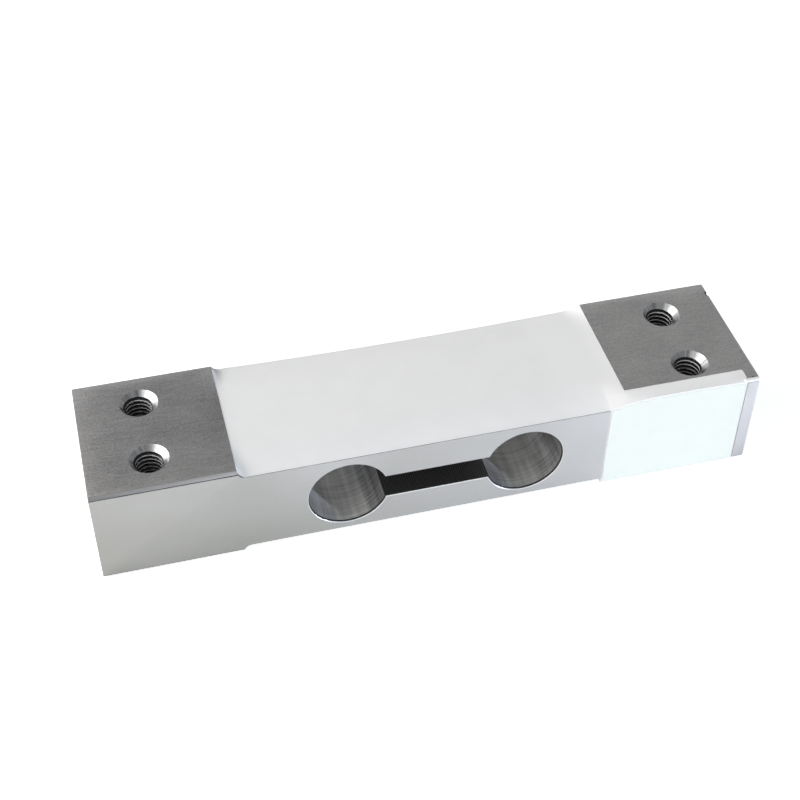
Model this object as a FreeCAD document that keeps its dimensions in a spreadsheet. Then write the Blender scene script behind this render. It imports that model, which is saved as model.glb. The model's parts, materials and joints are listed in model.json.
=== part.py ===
import FreeCAD, Part
import math
import os
import Sketcher
from FreeCAD import Placement, Rotation, Vector

# Single point load cell. +X runs along the beam, the labelled side pocket faces -Y at the +X end,
# and the origin is at the middle of the face that the cell rests on.

doc = FreeCAD.newDocument("single_point_load_cell")

# Driving sizes in millimetres and degrees
SIZES = [
    ("beam_length", 130.0, "overall length"),
    ("beam_width", 30.0, "overall width"),
    ("beam_height", 22.0, "height at the end pads"),
    ("long_edge_chamfer", 0.6, "chamfer on the four long edges"),
    ("beam_edge_break", 0.2, "chamfer round the end faces"),
    ("end_pad_length", 27.0, "length of each mounting pad"),
    ("relief_depth", 1.6, "relief between the pads, above and below"),
    ("relief_end_radius", 1.5, "cutter radius where the relief meets a pad"),
    ("bore_diameter", 15.4, "flexure bores"),
    ("bore_spacing", 35.0, "distance between the bore axes"),
    ("slot_height", 5.6, "slot that joins the bores"),
    ("hole_from_end", 12.0, "tapped hole axis from the end face"),
    ("hole_spacing", 15.0, "tapped holes of one pad, across the width"),
    ("tap_drill", 5.0, "core diameter of the tapped holes"),
    ("countersink_mouth", 7.4, "mouth diameter of the countersinks"),
    ("countersink_angle", 90.0, "included angle of the countersinks"),
    ("pocket_depth", 3.3, "side pocket, from the front face"),
    ("pocket_overlap", 3.8, "how far the pocket reaches into the relief"),
    ("pocket_corner_radius", 0.5, "inner corner of the pocket at the end wall"),
    ("end_wall", 2.5, "wall between the pocket and the end face"),
    ("cable_hole_diameter", 5.0, "cable entry through the end wall"),
    ("cable_hole_setback", 3.6, "cable hole axis from the front face"),
    ("cable_hole_depth", 8.0, "cable hole, from the end face"),
    ("seal_bore", 3.8, "bore of the cable seal"),
    ("seal_recess", 0.2, "cable seal below the end face"),
    ("seal_lead_in", 0.3, "chamfer at the mouth of the seal's bore"),
    ("seal_clearance", 0.05, "cable seal in its hole, all round"),
    ("potting_thickness", 0.75, "silicone over the relief floor"),
    ("potting_edge_height", 0.12, "silicone at its long edges"),
    ("potting_edge_width", 3.0, "rounded margin of the silicone"),
    ("potting_edge_gap", 0.1, "bare metal along the long edges"),
    ("potting_below_pad", 0.05, "silicone below the pad faces where it meets them"),
    ("left_meniscus_length", 2.0, "silicone rising to the left pad"),
    ("right_meniscus_length", 3.8, "silicone rising to the right pad"),
    ("pocket_fill_drop", 1.5, "how much lower the pocket's silicone starts on the left"),
    ("pocket_fill_curve", 10.8, "length of that rounded rise"),
    ("pocket_fill_lift", 0.25, "pocket's silicone above the resting face"),
    ("label_thickness", 0.12, "label, flush with the front face"),
    ("label_margin", 0.35, "silicone left bare round the label"),
    ("gauge_length", 9.0, "gauge backing, along the beam"),
    ("gauge_width", 6.0, "gauge backing, across the beam"),
    ("gauge_backing", 0.1, "thickness of the gauge backing"),
    ("grid_foil", 0.05, "thickness of the gauge foil"),
    ("grid_length", 5.0, "active length of the gauge grid"),
    ("grid_strand", 0.25, "width of one grid strand and of one gap"),
    ("gauge_tab_length", 1.6, "solder tabs of the gauge"),
    ("gauge_tab_width", 1.4, "width of one solder tab"),
    ("gauge_lead_strip", 0.4, "width of the strip from a tab to the terminal strip"),
    ("terminal_gap", 0.6, "between gauge backing and terminal strip"),
    ("terminal_length", 3.0, "terminal strip, along the beam"),
    ("terminal_width", 5.0, "terminal strip, across the beam"),
    ("terminal_thickness", 0.2, "terminal strip"),
    ("terminal_pad_spacing", 2.6, "between the two solder pads of a strip"),
    ("solder_base", 1.0, "diameter of a solder joint at its foot"),
    ("solder_tip", 0.6, "diameter of a solder joint at its top"),
    ("solder_height", 0.25, "height of a solder joint"),
    ("lead_width", 0.7, "flat lead"),
    ("lead_thickness", 0.35, "flat lead"),
    ("lead_pitch", 1.1, "between the leads of the left and the right gauges"),
    ("lead_lane", 8.0, "right gauges' leads, from the beam's middle"),
    ("lead_drop", 0.6, "left gauges' leads where they enter the pocket, from its left end"),
    ("lead_landing", 6.0, "right gauges' leads at the board, from its middle"),
    ("board_length", 17.0, "compensation board, along the beam"),
    ("board_height", 15.0, "compensation board, upright"),
    ("board_thickness", 0.8, "compensation board"),
    ("board_setback", 5.8, "board from the pocket's left end"),
    ("joint_setback", 0.7, "solder joints from the board's left and right edges"),
    ("core_joint_pitch", 2.4, "between the joints for the cable's cores"),
    ("resistor_height", 0.6, "all resistors, off the board"),
    ("resistor_cap_length", 0.5, "metal end cap of a resistor"),
    ("resistor_cap_proud", 0.05, "end cap over the resistor's body"),
    ("span_resistor_length", 5.0, "span resistors"),
    ("span_resistor_width", 2.6, "span resistors"),
    ("span_resistor_setback", 2.9, "span resistors' middle, from the board's upper and lower edge"),
    ("zero_resistor_length", 3.2, "zero resistors"),
    ("zero_resistor_width", 1.6, "zero resistors"),
    ("zero_resistor_offset", 1.4, "zero resistors, above and below the board's middle"),
]

sheet = doc.addObject("Spreadsheet::Sheet", "Sizes")
for row, (alias, value, note) in enumerate(SIZES, start=1):
    sheet.set(f"A{row}", note)
    sheet.set(f"B{row}", str(value))
    sheet.setAlias(f"B{row}", alias)
doc.recompute()

# Places that several pieces share, as expressions on the sizes
HALF_LENGTH = "(Sizes.beam_length / 2)"
HALF_WIDTH = "(Sizes.beam_width / 2)"
MID_HEIGHT = "(Sizes.beam_height / 2)"
RELIEF_END = "(Sizes.beam_length / 2 - Sizes.end_pad_length)"
RELIEF_FLOOR = "(Sizes.beam_height - Sizes.relief_depth)"
POTTING_LEVEL = "(Sizes.beam_height - Sizes.potting_below_pad)"
POTTING_EDGE = f"({RELIEF_FLOOR} + Sizes.potting_edge_height)"
POCKET_FLOOR = "(Sizes.pocket_depth - Sizes.beam_width / 2)"
POCKET_LEFT = f"({RELIEF_END} - Sizes.pocket_overlap)"
POCKET_RIGHT = f"({HALF_LENGTH} - Sizes.end_wall)"
BOARD_LEFT = f"({POCKET_LEFT} + Sizes.board_setback)"
BOARD_MIDDLE = f"({BOARD_LEFT} + Sizes.board_length / 2)"
BOARD_FRONT = f"({POCKET_FLOOR} - Sizes.board_thickness)"
GAUGE_X = "(Sizes.bore_spacing / 2)"
GAUGE_END = "(Sizes.bore_spacing / 2 - Sizes.gauge_length / 2)"
TERMINAL_X = f"({GAUGE_END} - Sizes.terminal_gap - Sizes.terminal_length / 2)"
ZERO = "0 * Sizes.beam_length"


def value_of(expression):
    """Number that an expression on the sizes comes to."""
    return float(sheet.evalExpression(expression))


def plane_of(body, role):
    """One of the body's own origin planes."""
    return next(item for item in body.Origin.OriginFeatures if item.Role == role)


def sketch_on(body, name, role, offset=ZERO):
    """Sketch on an origin plane, moved along the plane's normal."""
    sketch = body.newObject("Sketcher::SketchObject", name)
    sketch.AttachmentSupport = [(plane_of(body, role), "")]
    sketch.MapMode = "FlatFace"
    sketch.setExpression("AttachmentOffset.Base.z", offset)
    return sketch


def fix_point(sketch, edge, end, corner):
    """Hold one end of an edge at a corner, both of its coordinates bound to the sizes."""
    for axis, expression in zip(("DistanceX", "DistanceY"), corner):
        index = sketch.addConstraint(Sketcher.Constraint(axis, -1, 1, edge, end, value_of(expression)))
        sketch.setExpression(f"Constraints[{index}]", expression)


def arc_between(start, finish, radius, side):
    """Arc of less than half a turn. side 1 bulges to the left of the way from start to finish."""
    chord = finish - start
    left = Vector(-chord.y, chord.x, 0).normalize()
    reach = math.sqrt(max(radius * radius - chord.Length * chord.Length / 4, 0.0))
    centre = (start + finish) * 0.5 - left * (side * reach)
    first, second = (start, finish) if side < 0 else (finish, start)
    angles = [math.atan2(point.y - centre.y, point.x - centre.x) for point in (first, second)]
    return Part.ArcOfCircle(Part.Circle(centre, Vector(0, 0, 1), radius), *angles)


def draw_outline(sketch, corners, arcs=None):
    """Closed outline through corners. arcs gives, for an edge's number, its radius and its side:
    1 bulges to the left of the way round, -1 to the right."""
    arcs = arcs or {}
    points = [Vector(value_of(across), value_of(up), 0) for across, up in corners]
    start_ends = []
    for edge, start in enumerate(points):
        finish = points[(edge + 1) % len(points)]
        if edge in arcs:
            radius, side = arcs[edge]
            sketch.addGeometry(arc_between(start, finish, value_of(radius), side))
            index = sketch.addConstraint(Sketcher.Constraint("Radius", edge, value_of(radius)))
            sketch.setExpression(f"Constraints[{index}]", radius)
        else:
            sketch.addGeometry(Part.LineSegment(start, finish))
        start_ends.append(2 if edge in arcs and arcs[edge][1] > 0 else 1)
    for edge, corner in enumerate(corners):
        before = (edge - 1) % len(corners)
        before_end = 3 - start_ends[before]
        sketch.addConstraint(Sketcher.Constraint("Coincident", before, before_end, edge, start_ends[edge]))
        fix_point(sketch, edge, start_ends[edge], corner)


def rectangle(left, bottom, right, top):
    """Corners of an upright rectangle, anticlockwise."""
    return [(left, bottom), (right, bottom), (right, top), (left, top)]


def draw_circle(sketch, across, up, diameter):
    """Circle with its centre and diameter bound to the sizes."""
    centre = Vector(value_of(across), value_of(up), 0)
    edge = sketch.addGeometry(Part.Circle(centre, Vector(0, 0, 1), value_of(diameter) / 2))
    fix_point(sketch, edge, 3, (across, up))
    index = sketch.addConstraint(Sketcher.Constraint("Diameter", edge, value_of(diameter)))
    sketch.setExpression(f"Constraints[{index}]", diameter)


def pad(body, name, sketch, length, side="One side", reverse=False):
    """Pad of a sketch."""
    feature = body.newObject("PartDesign::Pad", name)
    feature.Profile = sketch
    feature.SideType = side
    feature.Reversed = reverse
    feature.setExpression("Length", length)
    return feature


def cut_through(body, name, sketch, length):
    """Pocket of a sketch to both sides of its plane, longer than the piece."""
    feature = body.newObject("PartDesign::Pocket", name)
    feature.Profile = sketch
    feature.SideType = "Symmetric"
    feature.setExpression("Length", length)
    return feature


def new_body(name, label=None):
    """Body with a label of its own."""
    body = doc.addObject("PartDesign::Body", name)
    body.Label = label or name
    return body


def relief_corners():
    """Top relief seen from the front: floor, two rounded ends, open above the pads."""
    floor_end = f"{RELIEF_END} - Sizes.relief_end_radius"
    wall_top = f"{RELIEF_FLOOR} + Sizes.relief_end_radius"
    above = "Sizes.beam_height + Sizes.relief_depth"
    return [
        (f"-({floor_end})", RELIEF_FLOOR),
        (floor_end, RELIEF_FLOOR),
        (RELIEF_END, wall_top),
        (RELIEF_END, above),
        (f"-{RELIEF_END}", above),
        (f"-{RELIEF_END}", wall_top),
    ]


def mirror_height(corners):
    """The same outline, mirrored about the beam's middle height."""
    return [(across, f"Sizes.beam_height - ({up})") for across, up in corners]


# Beam: one block of aluminium, milled all over
beam = new_body("beam")
block_outline = sketch_on(beam, "block_outline", "XY_Plane")
draw_outline(block_outline, rectangle(f"-{HALF_LENGTH}", f"-{HALF_WIDTH}", HALF_LENGTH, HALF_WIDTH))
block = pad(beam, "block", block_outline, "Sizes.beam_height")
doc.recompute()


def edges_of(shape, lengthwise):
    """Names of the edges that run along the beam, or of all the others."""
    names = []
    for number, edge in enumerate(shape.Edges, start=1):
        box = edge.BoundBox
        runs_along = box.XLength > box.YLength + box.ZLength
        if runs_along == lengthwise:
            names.append(f"Edge{number}")
    return names


long_edge_chamfer = beam.newObject("PartDesign::Chamfer", "long_edge_chamfer")
long_edge_chamfer.Base = (block, edges_of(block.Shape, True))
long_edge_chamfer.setExpression("Size", "Sizes.long_edge_chamfer")
doc.recompute()

edge_break = beam.newObject("PartDesign::Chamfer", "edge_break")
edge_break.Base = (long_edge_chamfer, edges_of(long_edge_chamfer.Shape, False))
edge_break.setExpression("Size", "Sizes.beam_edge_break")
beam.Tip = edge_break
doc.recompute()

relief_ends = {1: ("Sizes.relief_end_radius", -1), 5: ("Sizes.relief_end_radius", -1)}
top_relief_outline = sketch_on(beam, "top_relief_outline", "XZ_Plane")
draw_outline(top_relief_outline, relief_corners(), relief_ends)
cut_through(beam, "top_relief", top_relief_outline, "2 * Sizes.beam_width")

bottom_ends = {1: ("Sizes.relief_end_radius", 1), 5: ("Sizes.relief_end_radius", 1)}
bottom_relief_outline = sketch_on(beam, "bottom_relief_outline", "XZ_Plane")
draw_outline(bottom_relief_outline, mirror_height(relief_corners()), bottom_ends)
cut_through(beam, "bottom_relief", bottom_relief_outline, "2 * Sizes.beam_width")

bore_outline = sketch_on(beam, "bore_outline", "XZ_Plane")
draw_circle(bore_outline, f"-{GAUGE_X}", MID_HEIGHT, "Sizes.bore_diameter")
draw_circle(bore_outline, GAUGE_X, MID_HEIGHT, "Sizes.bore_diameter")
cut_through(beam, "flexure_bores", bore_outline, "2 * Sizes.beam_width")

slot_bottom = f"{MID_HEIGHT} - Sizes.slot_height / 2"
slot_top = f"{MID_HEIGHT} + Sizes.slot_height / 2"
slot_outline = sketch_on(beam, "slot_outline", "XZ_Plane")
draw_outline(slot_outline, rectangle(f"-{GAUGE_X}", slot_bottom, GAUGE_X, slot_top))
cut_through(beam, "flexure_slot", slot_outline, "2 * Sizes.beam_width")

POCKET_ARCS = {2: ("Sizes.pocket_corner_radius", -1)}


def pocket_corners():
    """Side pocket seen from above, open at the front."""
    front = f"-({HALF_WIDTH} + Sizes.pocket_depth)"
    radius = "Sizes.pocket_corner_radius"
    return [
        (POCKET_LEFT, front),
        (POCKET_RIGHT, front),
        (POCKET_RIGHT, f"{POCKET_FLOOR} - {radius}"),
        (f"{POCKET_RIGHT} - {radius}", POCKET_FLOOR),
        (POCKET_LEFT, POCKET_FLOOR),
    ]


pocket_outline = sketch_on(beam, "pocket_outline", "XY_Plane")
draw_outline(pocket_outline, pocket_corners(), POCKET_ARCS)
cut_through(beam, "side_pocket", pocket_outline, "4 * Sizes.beam_height")

cable_outline = sketch_on(beam, "cable_outline", "YZ_Plane", HALF_LENGTH)
CABLE_LINE = f"(Sizes.cable_hole_setback - {HALF_WIDTH})"
draw_circle(cable_outline, CABLE_LINE, MID_HEIGHT, "Sizes.cable_hole_diameter")
cable_hole = beam.newObject("PartDesign::Pocket", "cable_hole")
cable_hole.Profile = cable_outline
cable_hole.setExpression("Length", "Sizes.cable_hole_depth")

# One tapped hole, countersunk at both mouths, turned about its own axis and mirrored to the other three
sink_radius = "Sizes.countersink_mouth / 2"
core_radius = "Sizes.tap_drill / 2"
sink_depth = f"(({sink_radius} - {core_radius}) / tan(Sizes.countersink_angle / 2 * 1deg))"
hole_section = sketch_on(beam, "hole_section", "XZ_Plane", "Sizes.hole_spacing / 2")
hole_section.setExpression("AttachmentOffset.Base.x", f"Sizes.hole_from_end - {HALF_LENGTH}")
draw_outline(
    hole_section,
    [
        (ZERO, ZERO),
        (sink_radius, ZERO),
        (core_radius, sink_depth),
        (core_radius, f"Sizes.beam_height - {sink_depth}"),
        (sink_radius, "Sizes.beam_height"),
        (ZERO, "Sizes.beam_height"),
    ],
)
tapped_hole = beam.newObject("PartDesign::Groove", "tapped_hole")
tapped_hole.Profile = hole_section
tapped_hole.ReferenceAxis = (hole_section, ["V_Axis"])
tapped_hole.Angle = 360.0
doc.recompute()

hole_grid = beam.newObject("PartDesign::MultiTransform", "hole_grid")
hole_grid.Originals = [tapped_hole]
to_other_end = beam.newObject("PartDesign::Mirrored", "to_other_end")
to_other_end.MirrorPlane = (plane_of(beam, "YZ_Plane"), [""])
to_other_side = beam.newObject("PartDesign::Mirrored", "to_other_side")
to_other_side.MirrorPlane = (plane_of(beam, "XZ_Plane"), [""])
hole_grid.Transformations = [to_other_end, to_other_side]
beam.Tip = hole_grid
doc.recompute()


# Strain gauges: polyimide backing, a folded foil grid with two solder tabs, and two short lead strips
STRAND_COUNT = 6


def strand_middle(number):
    """Middle line of one grid strand, across the gauge."""
    return f"({2 * number - STRAND_COUNT + 1} * Sizes.grid_strand)"


def grid_corners():
    """Outline of the grid: one foil path that runs out and back, with a wide tab at each end."""
    half_strand = "Sizes.grid_strand / 2"
    tab_end = "Sizes.gauge_length / 2"
    tab_start = "(Sizes.gauge_length / 2 - Sizes.gauge_tab_length)"
    near = f"({tab_start} - Sizes.grid_strand)"
    far = f"({near} - Sizes.grid_length)"
    first = strand_middle(0)
    last = strand_middle(STRAND_COUNT - 1)
    first_tab_side = f"{first} + {half_strand} - Sizes.gauge_tab_width"
    last_tab_side = f"{last} - {half_strand} + Sizes.gauge_tab_width"
    left = [(tab_end, first_tab_side), (tab_start, first_tab_side), (tab_start, f"{first} - {half_strand}")]
    right = [(tab_end, f"{first} + {half_strand}")]
    for turn in range(STRAND_COUNT - 1):
        here = strand_middle(turn)
        beyond = strand_middle(turn + 1)
        outer = [f"{here} - {half_strand}", f"{beyond} + {half_strand}"]
        inner = [f"{here} + {half_strand}", f"{beyond} - {half_strand}"]
        if turn % 2 == 0:
            left += [(f"{far} - {half_strand}", level) for level in outer]
            right += [(f"{far} + {half_strand}", level) for level in inner]
        else:
            left += [(f"{near} - {half_strand}", level) for level in inner]
            right += [(f"{near} + {half_strand}", level) for level in outer]
    left += [(tab_start, f"{last} + {half_strand}"), (tab_start, last_tab_side), (tab_end, last_tab_side)]
    right += [(tab_end, f"{last} - {half_strand}")]
    return left + right[::-1]


def strain_gauge(name):
    """One gauge with its underside at the origin and its solder tabs towards +X."""
    body = new_body(name)
    half_length = "Sizes.gauge_length / 2"
    half_width = "Sizes.gauge_width / 2"
    backing_outline = sketch_on(body, f"{name}_backing_outline", "XY_Plane")
    draw_outline(backing_outline, rectangle(f"-{half_length}", f"-{half_width}", half_length, half_width))
    pad(body, f"{name}_backing", backing_outline, "Sizes.gauge_backing")
    grid_outline = sketch_on(body, f"{name}_grid_outline", "XY_Plane", "Sizes.gauge_backing")
    draw_outline(grid_outline, grid_corners())
    pad(body, f"{name}_grid", grid_outline, "Sizes.grid_foil")
    strip_end = f"{half_length} + Sizes.terminal_gap"
    for side, sign in (("front", "-"), ("back", "")):
        inner = f"{sign}({strand_middle(STRAND_COUNT - 1)} + Sizes.grid_strand)"
        outer = f"{inner} {sign or '+'} Sizes.gauge_lead_strip"
        low, high = (outer, inner) if side == "front" else (inner, outer)
        strip_outline = sketch_on(body, f"{name}_{side}_strip_outline", "XY_Plane")
        draw_outline(strip_outline, rectangle(half_length, low, strip_end, high))
        pad(body, f"{name}_{side}_strip", strip_outline, "Sizes.gauge_backing + Sizes.grid_foil")
    return body


# Terminal strips: a thin board with two solder joints
def solder_joint(name):
    """One solder joint, standing on the origin."""
    joint = doc.addObject("Part::Cone", name)
    joint.setExpression("Radius1", "Sizes.solder_base / 2")
    joint.setExpression("Radius2", "Sizes.solder_tip / 2")
    joint.setExpression("Height", "Sizes.solder_height")
    return joint


def place(piece, across, along_width, up, rotation=None):
    """Put a piece where three expressions say, turned as given."""
    piece.Placement = Placement(Vector(0, 0, 0), rotation or Rotation())
    for axis, expression in zip("xyz", (across, along_width, up)):
        piece.setExpression(f"Placement.Base.{axis}", expression)
    return piece


def gauge_terminal(name):
    """One terminal strip with its underside at the origin."""
    strip = doc.addObject("Part::Box", f"{name}_strip")
    strip.setExpression("Length", "Sizes.terminal_length")
    strip.setExpression("Width", "Sizes.terminal_width")
    strip.setExpression("Height", "Sizes.terminal_thickness")
    place(strip, "-Sizes.terminal_length / 2", "-Sizes.terminal_width / 2", ZERO)
    joints = []
    for side, sign in (("front", "-"), ("back", "")):
        joint = solder_joint(f"{name}_{side}_joint")
        place(joint, ZERO, f"{sign}Sizes.terminal_pad_spacing / 2", "Sizes.terminal_thickness")
        joints.append(joint)
    terminal = doc.addObject("Part::MultiFuse", name)
    terminal.Label = name
    terminal.Shapes = [strip] + joints
    return terminal


# Flat leads: along the relief floor, over the pocket's edge, down its floor and up to the board
def gauge_leads(name, end, level):
    """Leads of one gauge. end is left or right, level is top or bottom."""
    body = new_body(name)
    half_lead = "Sizes.lead_width / 2"
    if end == "left":
        start = f"-{TERMINAL_X}"
        lane = "(-Sizes.lead_lane - Sizes.lead_pitch)"
        drop = f"({POCKET_LEFT} + Sizes.lead_drop)"
        landing = f"({MID_HEIGHT} + Sizes.lead_landing - Sizes.lead_pitch)"
    else:
        start = TERMINAL_X
        lane = "(-Sizes.lead_lane)"
        drop = f"({POCKET_LEFT} + Sizes.lead_drop + Sizes.lead_pitch)"
        landing = f"({MID_HEIGHT} + Sizes.lead_landing)"
    edge = f"{POCKET_FLOOR} - Sizes.lead_thickness"
    flat_corners = [
        (f"{start} - {half_lead}", "-Sizes.terminal_width / 2"),
        (f"{start} - {half_lead}", f"{lane} - {half_lead}"),
        (f"{drop} - {half_lead}", f"{lane} - {half_lead}"),
        (f"{drop} - {half_lead}", edge),
        (f"{drop} + {half_lead}", edge),
        (f"{drop} + {half_lead}", f"{lane} + {half_lead}"),
        (f"{start} + {half_lead}", f"{lane} + {half_lead}"),
        (f"{start} + {half_lead}", "-Sizes.terminal_width / 2"),
    ]
    upright_corners = [
        (f"{drop} - {half_lead}", f"{RELIEF_FLOOR} + Sizes.lead_thickness"),
        (f"{drop} - {half_lead}", f"{landing} - {half_lead}"),
        (BOARD_LEFT, f"{landing} - {half_lead}"),
        (BOARD_LEFT, f"{landing} + {half_lead}"),
        (f"{drop} + {half_lead}", f"{landing} + {half_lead}"),
        (f"{drop} + {half_lead}", f"{RELIEF_FLOOR} + Sizes.lead_thickness"),
    ]
    on_top = level == "top"
    floor = RELIEF_FLOOR if on_top else "Sizes.relief_depth"
    flat_outline = sketch_on(body, f"{name}_flat_outline", "XY_Plane", floor)
    draw_outline(flat_outline, flat_corners)
    pad(body, f"{name}_flat", flat_outline, "Sizes.lead_thickness", reverse=not on_top)
    upright_outline = sketch_on(body, f"{name}_upright_outline", "XZ_Plane", f"-{POCKET_FLOOR}")
    draw_outline(upright_outline, upright_corners if on_top else mirror_height(upright_corners))
    pad(body, f"{name}_upright", upright_outline, "Sizes.lead_thickness")
    return body


# The four gauge stations: over and under the thin web of each bore, with the solder tabs towards the
# beam's middle
STATIONS = [
    ("left", "top", Rotation()),
    ("right", "top", Rotation(Vector(0, 0, 1), 180)),
    ("left", "bottom", Rotation(Vector(1, 0, 0), 180)),
    ("right", "bottom", Rotation(Vector(0, 1, 0), 180)),
]
nodes = [beam]
embedded = {"top": [], "bottom": [], "pocket": []}
for end, level, rotation in STATIONS:
    sign = "-" if end == "left" else ""
    floor = RELIEF_FLOOR if level == "top" else "Sizes.relief_depth"
    gauge = place(strain_gauge(f"strain_gauge_{level}_{end}"), f"{sign}{GAUGE_X}", ZERO, floor, rotation)
    terminal = gauge_terminal(f"gauge_terminal_{level}_{end}")
    place(terminal, f"{sign}{TERMINAL_X}", ZERO, floor, rotation)
    leads = gauge_leads(f"gauge_leads_{level}_{end}", end, level)
    nodes += [gauge, terminal, leads]
    embedded[level] += [gauge, terminal, leads]
    embedded["pocket"].append(leads)


# Compensation board on the pocket's floor
compensation_board = new_body("compensation_board")
board_bottom = f"{MID_HEIGHT} - Sizes.board_height / 2"
board_top = f"{MID_HEIGHT} + Sizes.board_height / 2"
board_outline = sketch_on(compensation_board, "board_outline", "XZ_Plane", f"-{POCKET_FLOOR}")
board_right = f"({BOARD_LEFT} + Sizes.board_length)"
draw_outline(board_outline, rectangle(BOARD_LEFT, board_bottom, board_right, board_top))
pad(compensation_board, "board", board_outline, "Sizes.board_thickness")
FACING_FRONT = Rotation(Vector(1, 0, 0), 90)

# Solder joints: four at the gauge leads on the left, four for the cable's cores on the right
board_joints = []
lead_levels = ["Sizes.lead_landing", "(Sizes.lead_landing - Sizes.lead_pitch)"]
lead_column = f"{BOARD_LEFT} + Sizes.joint_setback"
for half, sign in (("lower", "-"), ("upper", "+")):
    for number, landing in enumerate(lead_levels, start=1):
        joint = solder_joint(f"lead_joint_{half}_{number}")
        lead_level = f"{MID_HEIGHT} {sign} {landing}"
        board_joints.append(place(joint, lead_column, BOARD_FRONT, lead_level, FACING_FRONT))
CORE_COUNT = 4
core_column = f"{board_right} - Sizes.joint_setback"
for core in range(CORE_COUNT):
    joint = solder_joint(f"core_joint_{core + 1}")
    core_level = f"{MID_HEIGHT} + {core - (CORE_COUNT - 1) / 2} * Sizes.core_joint_pitch"
    board_joints.append(place(joint, core_column, BOARD_FRONT, core_level, FACING_FRONT))
board_solder_joints = doc.addObject("Part::Compound", "board_solder_joints")
board_solder_joints.Label = "board_solder_joints"
board_solder_joints.Links = board_joints


# Resistors: a flat body with a metal cap over each end
def resistor(name, length, width, offset):
    """Resistor on the board, above or below its middle by the offset."""
    body = new_body(name)
    half_length = f"{length} / 2"
    half_width = f"{width} / 2"
    core_outline = sketch_on(body, f"{name}_core_outline", "XY_Plane")
    draw_outline(core_outline, rectangle(f"-{half_length}", f"-{half_width}", half_length, half_width))
    pad(body, f"{name}_core", core_outline, "Sizes.resistor_height")
    wide = f"({half_width} + Sizes.resistor_cap_proud)"
    cap_start = f"({half_length} - Sizes.resistor_cap_length)"
    cap_end = f"({half_length} + Sizes.resistor_cap_proud)"
    for end, first, second in (("left", f"-{cap_end}", f"-{cap_start}"), ("right", cap_start, cap_end)):
        cap_outline = sketch_on(body, f"{name}_{end}_cap_outline", "XY_Plane")
        draw_outline(cap_outline, rectangle(first, f"-{wide}", second, wide))
        pad(body, f"{name}_{end}_cap", cap_outline, "Sizes.resistor_height + Sizes.resistor_cap_proud")
    return place(body, BOARD_MIDDLE, BOARD_FRONT, f"{MID_HEIGHT} + {offset}", FACING_FRONT)


SPAN_OFFSET = "(Sizes.board_height / 2 - Sizes.span_resistor_setback)"
RESISTORS = [
    ("span_resistor_upper", "span", SPAN_OFFSET),
    ("span_resistor_lower", "span", f"(-{SPAN_OFFSET})"),
    ("zero_trim_resistor", "zero", "Sizes.zero_resistor_offset"),
    ("zero_temperature_resistor", "zero", "(-Sizes.zero_resistor_offset)"),
]
resistors = []
for name, kind, offset in RESISTORS:
    resistors.append(resistor(name, f"Sizes.{kind}_resistor_length", f"Sizes.{kind}_resistor_width", offset))
nodes += [compensation_board, board_solder_joints] + resistors
embedded["pocket"] += [compensation_board, board_solder_joints] + resistors

# Cable seal: a rubber bush in the end wall, turned about the cable hole's axis
cable_seal = new_body("cable_seal")
seal_radius = "(Sizes.cable_hole_diameter / 2 - Sizes.seal_clearance)"
seal_length = "(Sizes.end_wall - Sizes.seal_recess)"
seal_section = sketch_on(cable_seal, "seal_section", "XZ_Plane")
draw_outline(
    seal_section,
    [
        (ZERO, "Sizes.seal_bore / 2"),
        (f"{seal_length} - Sizes.seal_lead_in", "Sizes.seal_bore / 2"),
        (seal_length, "Sizes.seal_bore / 2 + Sizes.seal_lead_in"),
        (seal_length, seal_radius),
        (ZERO, seal_radius),
    ],
)
seal_turn = cable_seal.newObject("PartDesign::Revolution", "seal_turn")
seal_turn.Profile = seal_section
seal_turn.ReferenceAxis = (seal_section, ["H_Axis"])
seal_turn.Angle = 360.0
place(cable_seal, POCKET_RIGHT, CABLE_LINE, MID_HEIGHT)
nodes.append(cable_seal)

# Silicone in the top relief: a layer with rounded long edges that climbs to each pad
bend = "({run} * {run} + {rise} * {rise}) / (2 * {rise})"
layer = new_body("potting_layer")
layer_side = f"({HALF_WIDTH} - Sizes.potting_edge_gap)"
layer_top = f"{RELIEF_FLOOR} + Sizes.potting_thickness"
layer_rise = "(Sizes.potting_thickness - Sizes.potting_edge_height)"
layer_bend = bend.format(run="Sizes.potting_edge_width", rise=layer_rise)
layer_outline = sketch_on(layer, "layer_outline", "YZ_Plane")
draw_outline(
    layer_outline,
    [
        (f"-{layer_side}", RELIEF_FLOOR),
        (layer_side, RELIEF_FLOOR),
        (layer_side, POTTING_EDGE),
        (f"{layer_side} - Sizes.potting_edge_width", layer_top),
        (f"Sizes.potting_edge_width - {layer_side}", layer_top),
        (f"-{layer_side}", POTTING_EDGE),
    ],
    {2: (layer_bend, -1), 4: (layer_bend, -1)},
)
pad(layer, "layer", layer_outline, f"2 * {RELIEF_END}", "Symmetric")


def meniscus(name, sign, run):
    """Silicone rising to one pad. sign is minus at the left pad."""
    body = new_body(name)
    rise = f"({POTTING_LEVEL} - {POTTING_EDGE})"
    start = f"({RELIEF_END} - {run})"
    side = 1 if sign == "" else -1
    outline = sketch_on(body, f"{name}_outline", "XZ_Plane")
    corners = [
        (start, RELIEF_FLOOR),
        (RELIEF_END, RELIEF_FLOOR),
        (RELIEF_END, POTTING_LEVEL),
        (start, POTTING_EDGE),
    ]
    signed = [(f"{sign}{across}", up) for across, up in corners]
    draw_outline(outline, signed, {2: (bend.format(run=run, rise=rise), side)})
    pad(body, f"{name}_pad", outline, f"2 * {layer_side}", "Symmetric")
    return body


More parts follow.
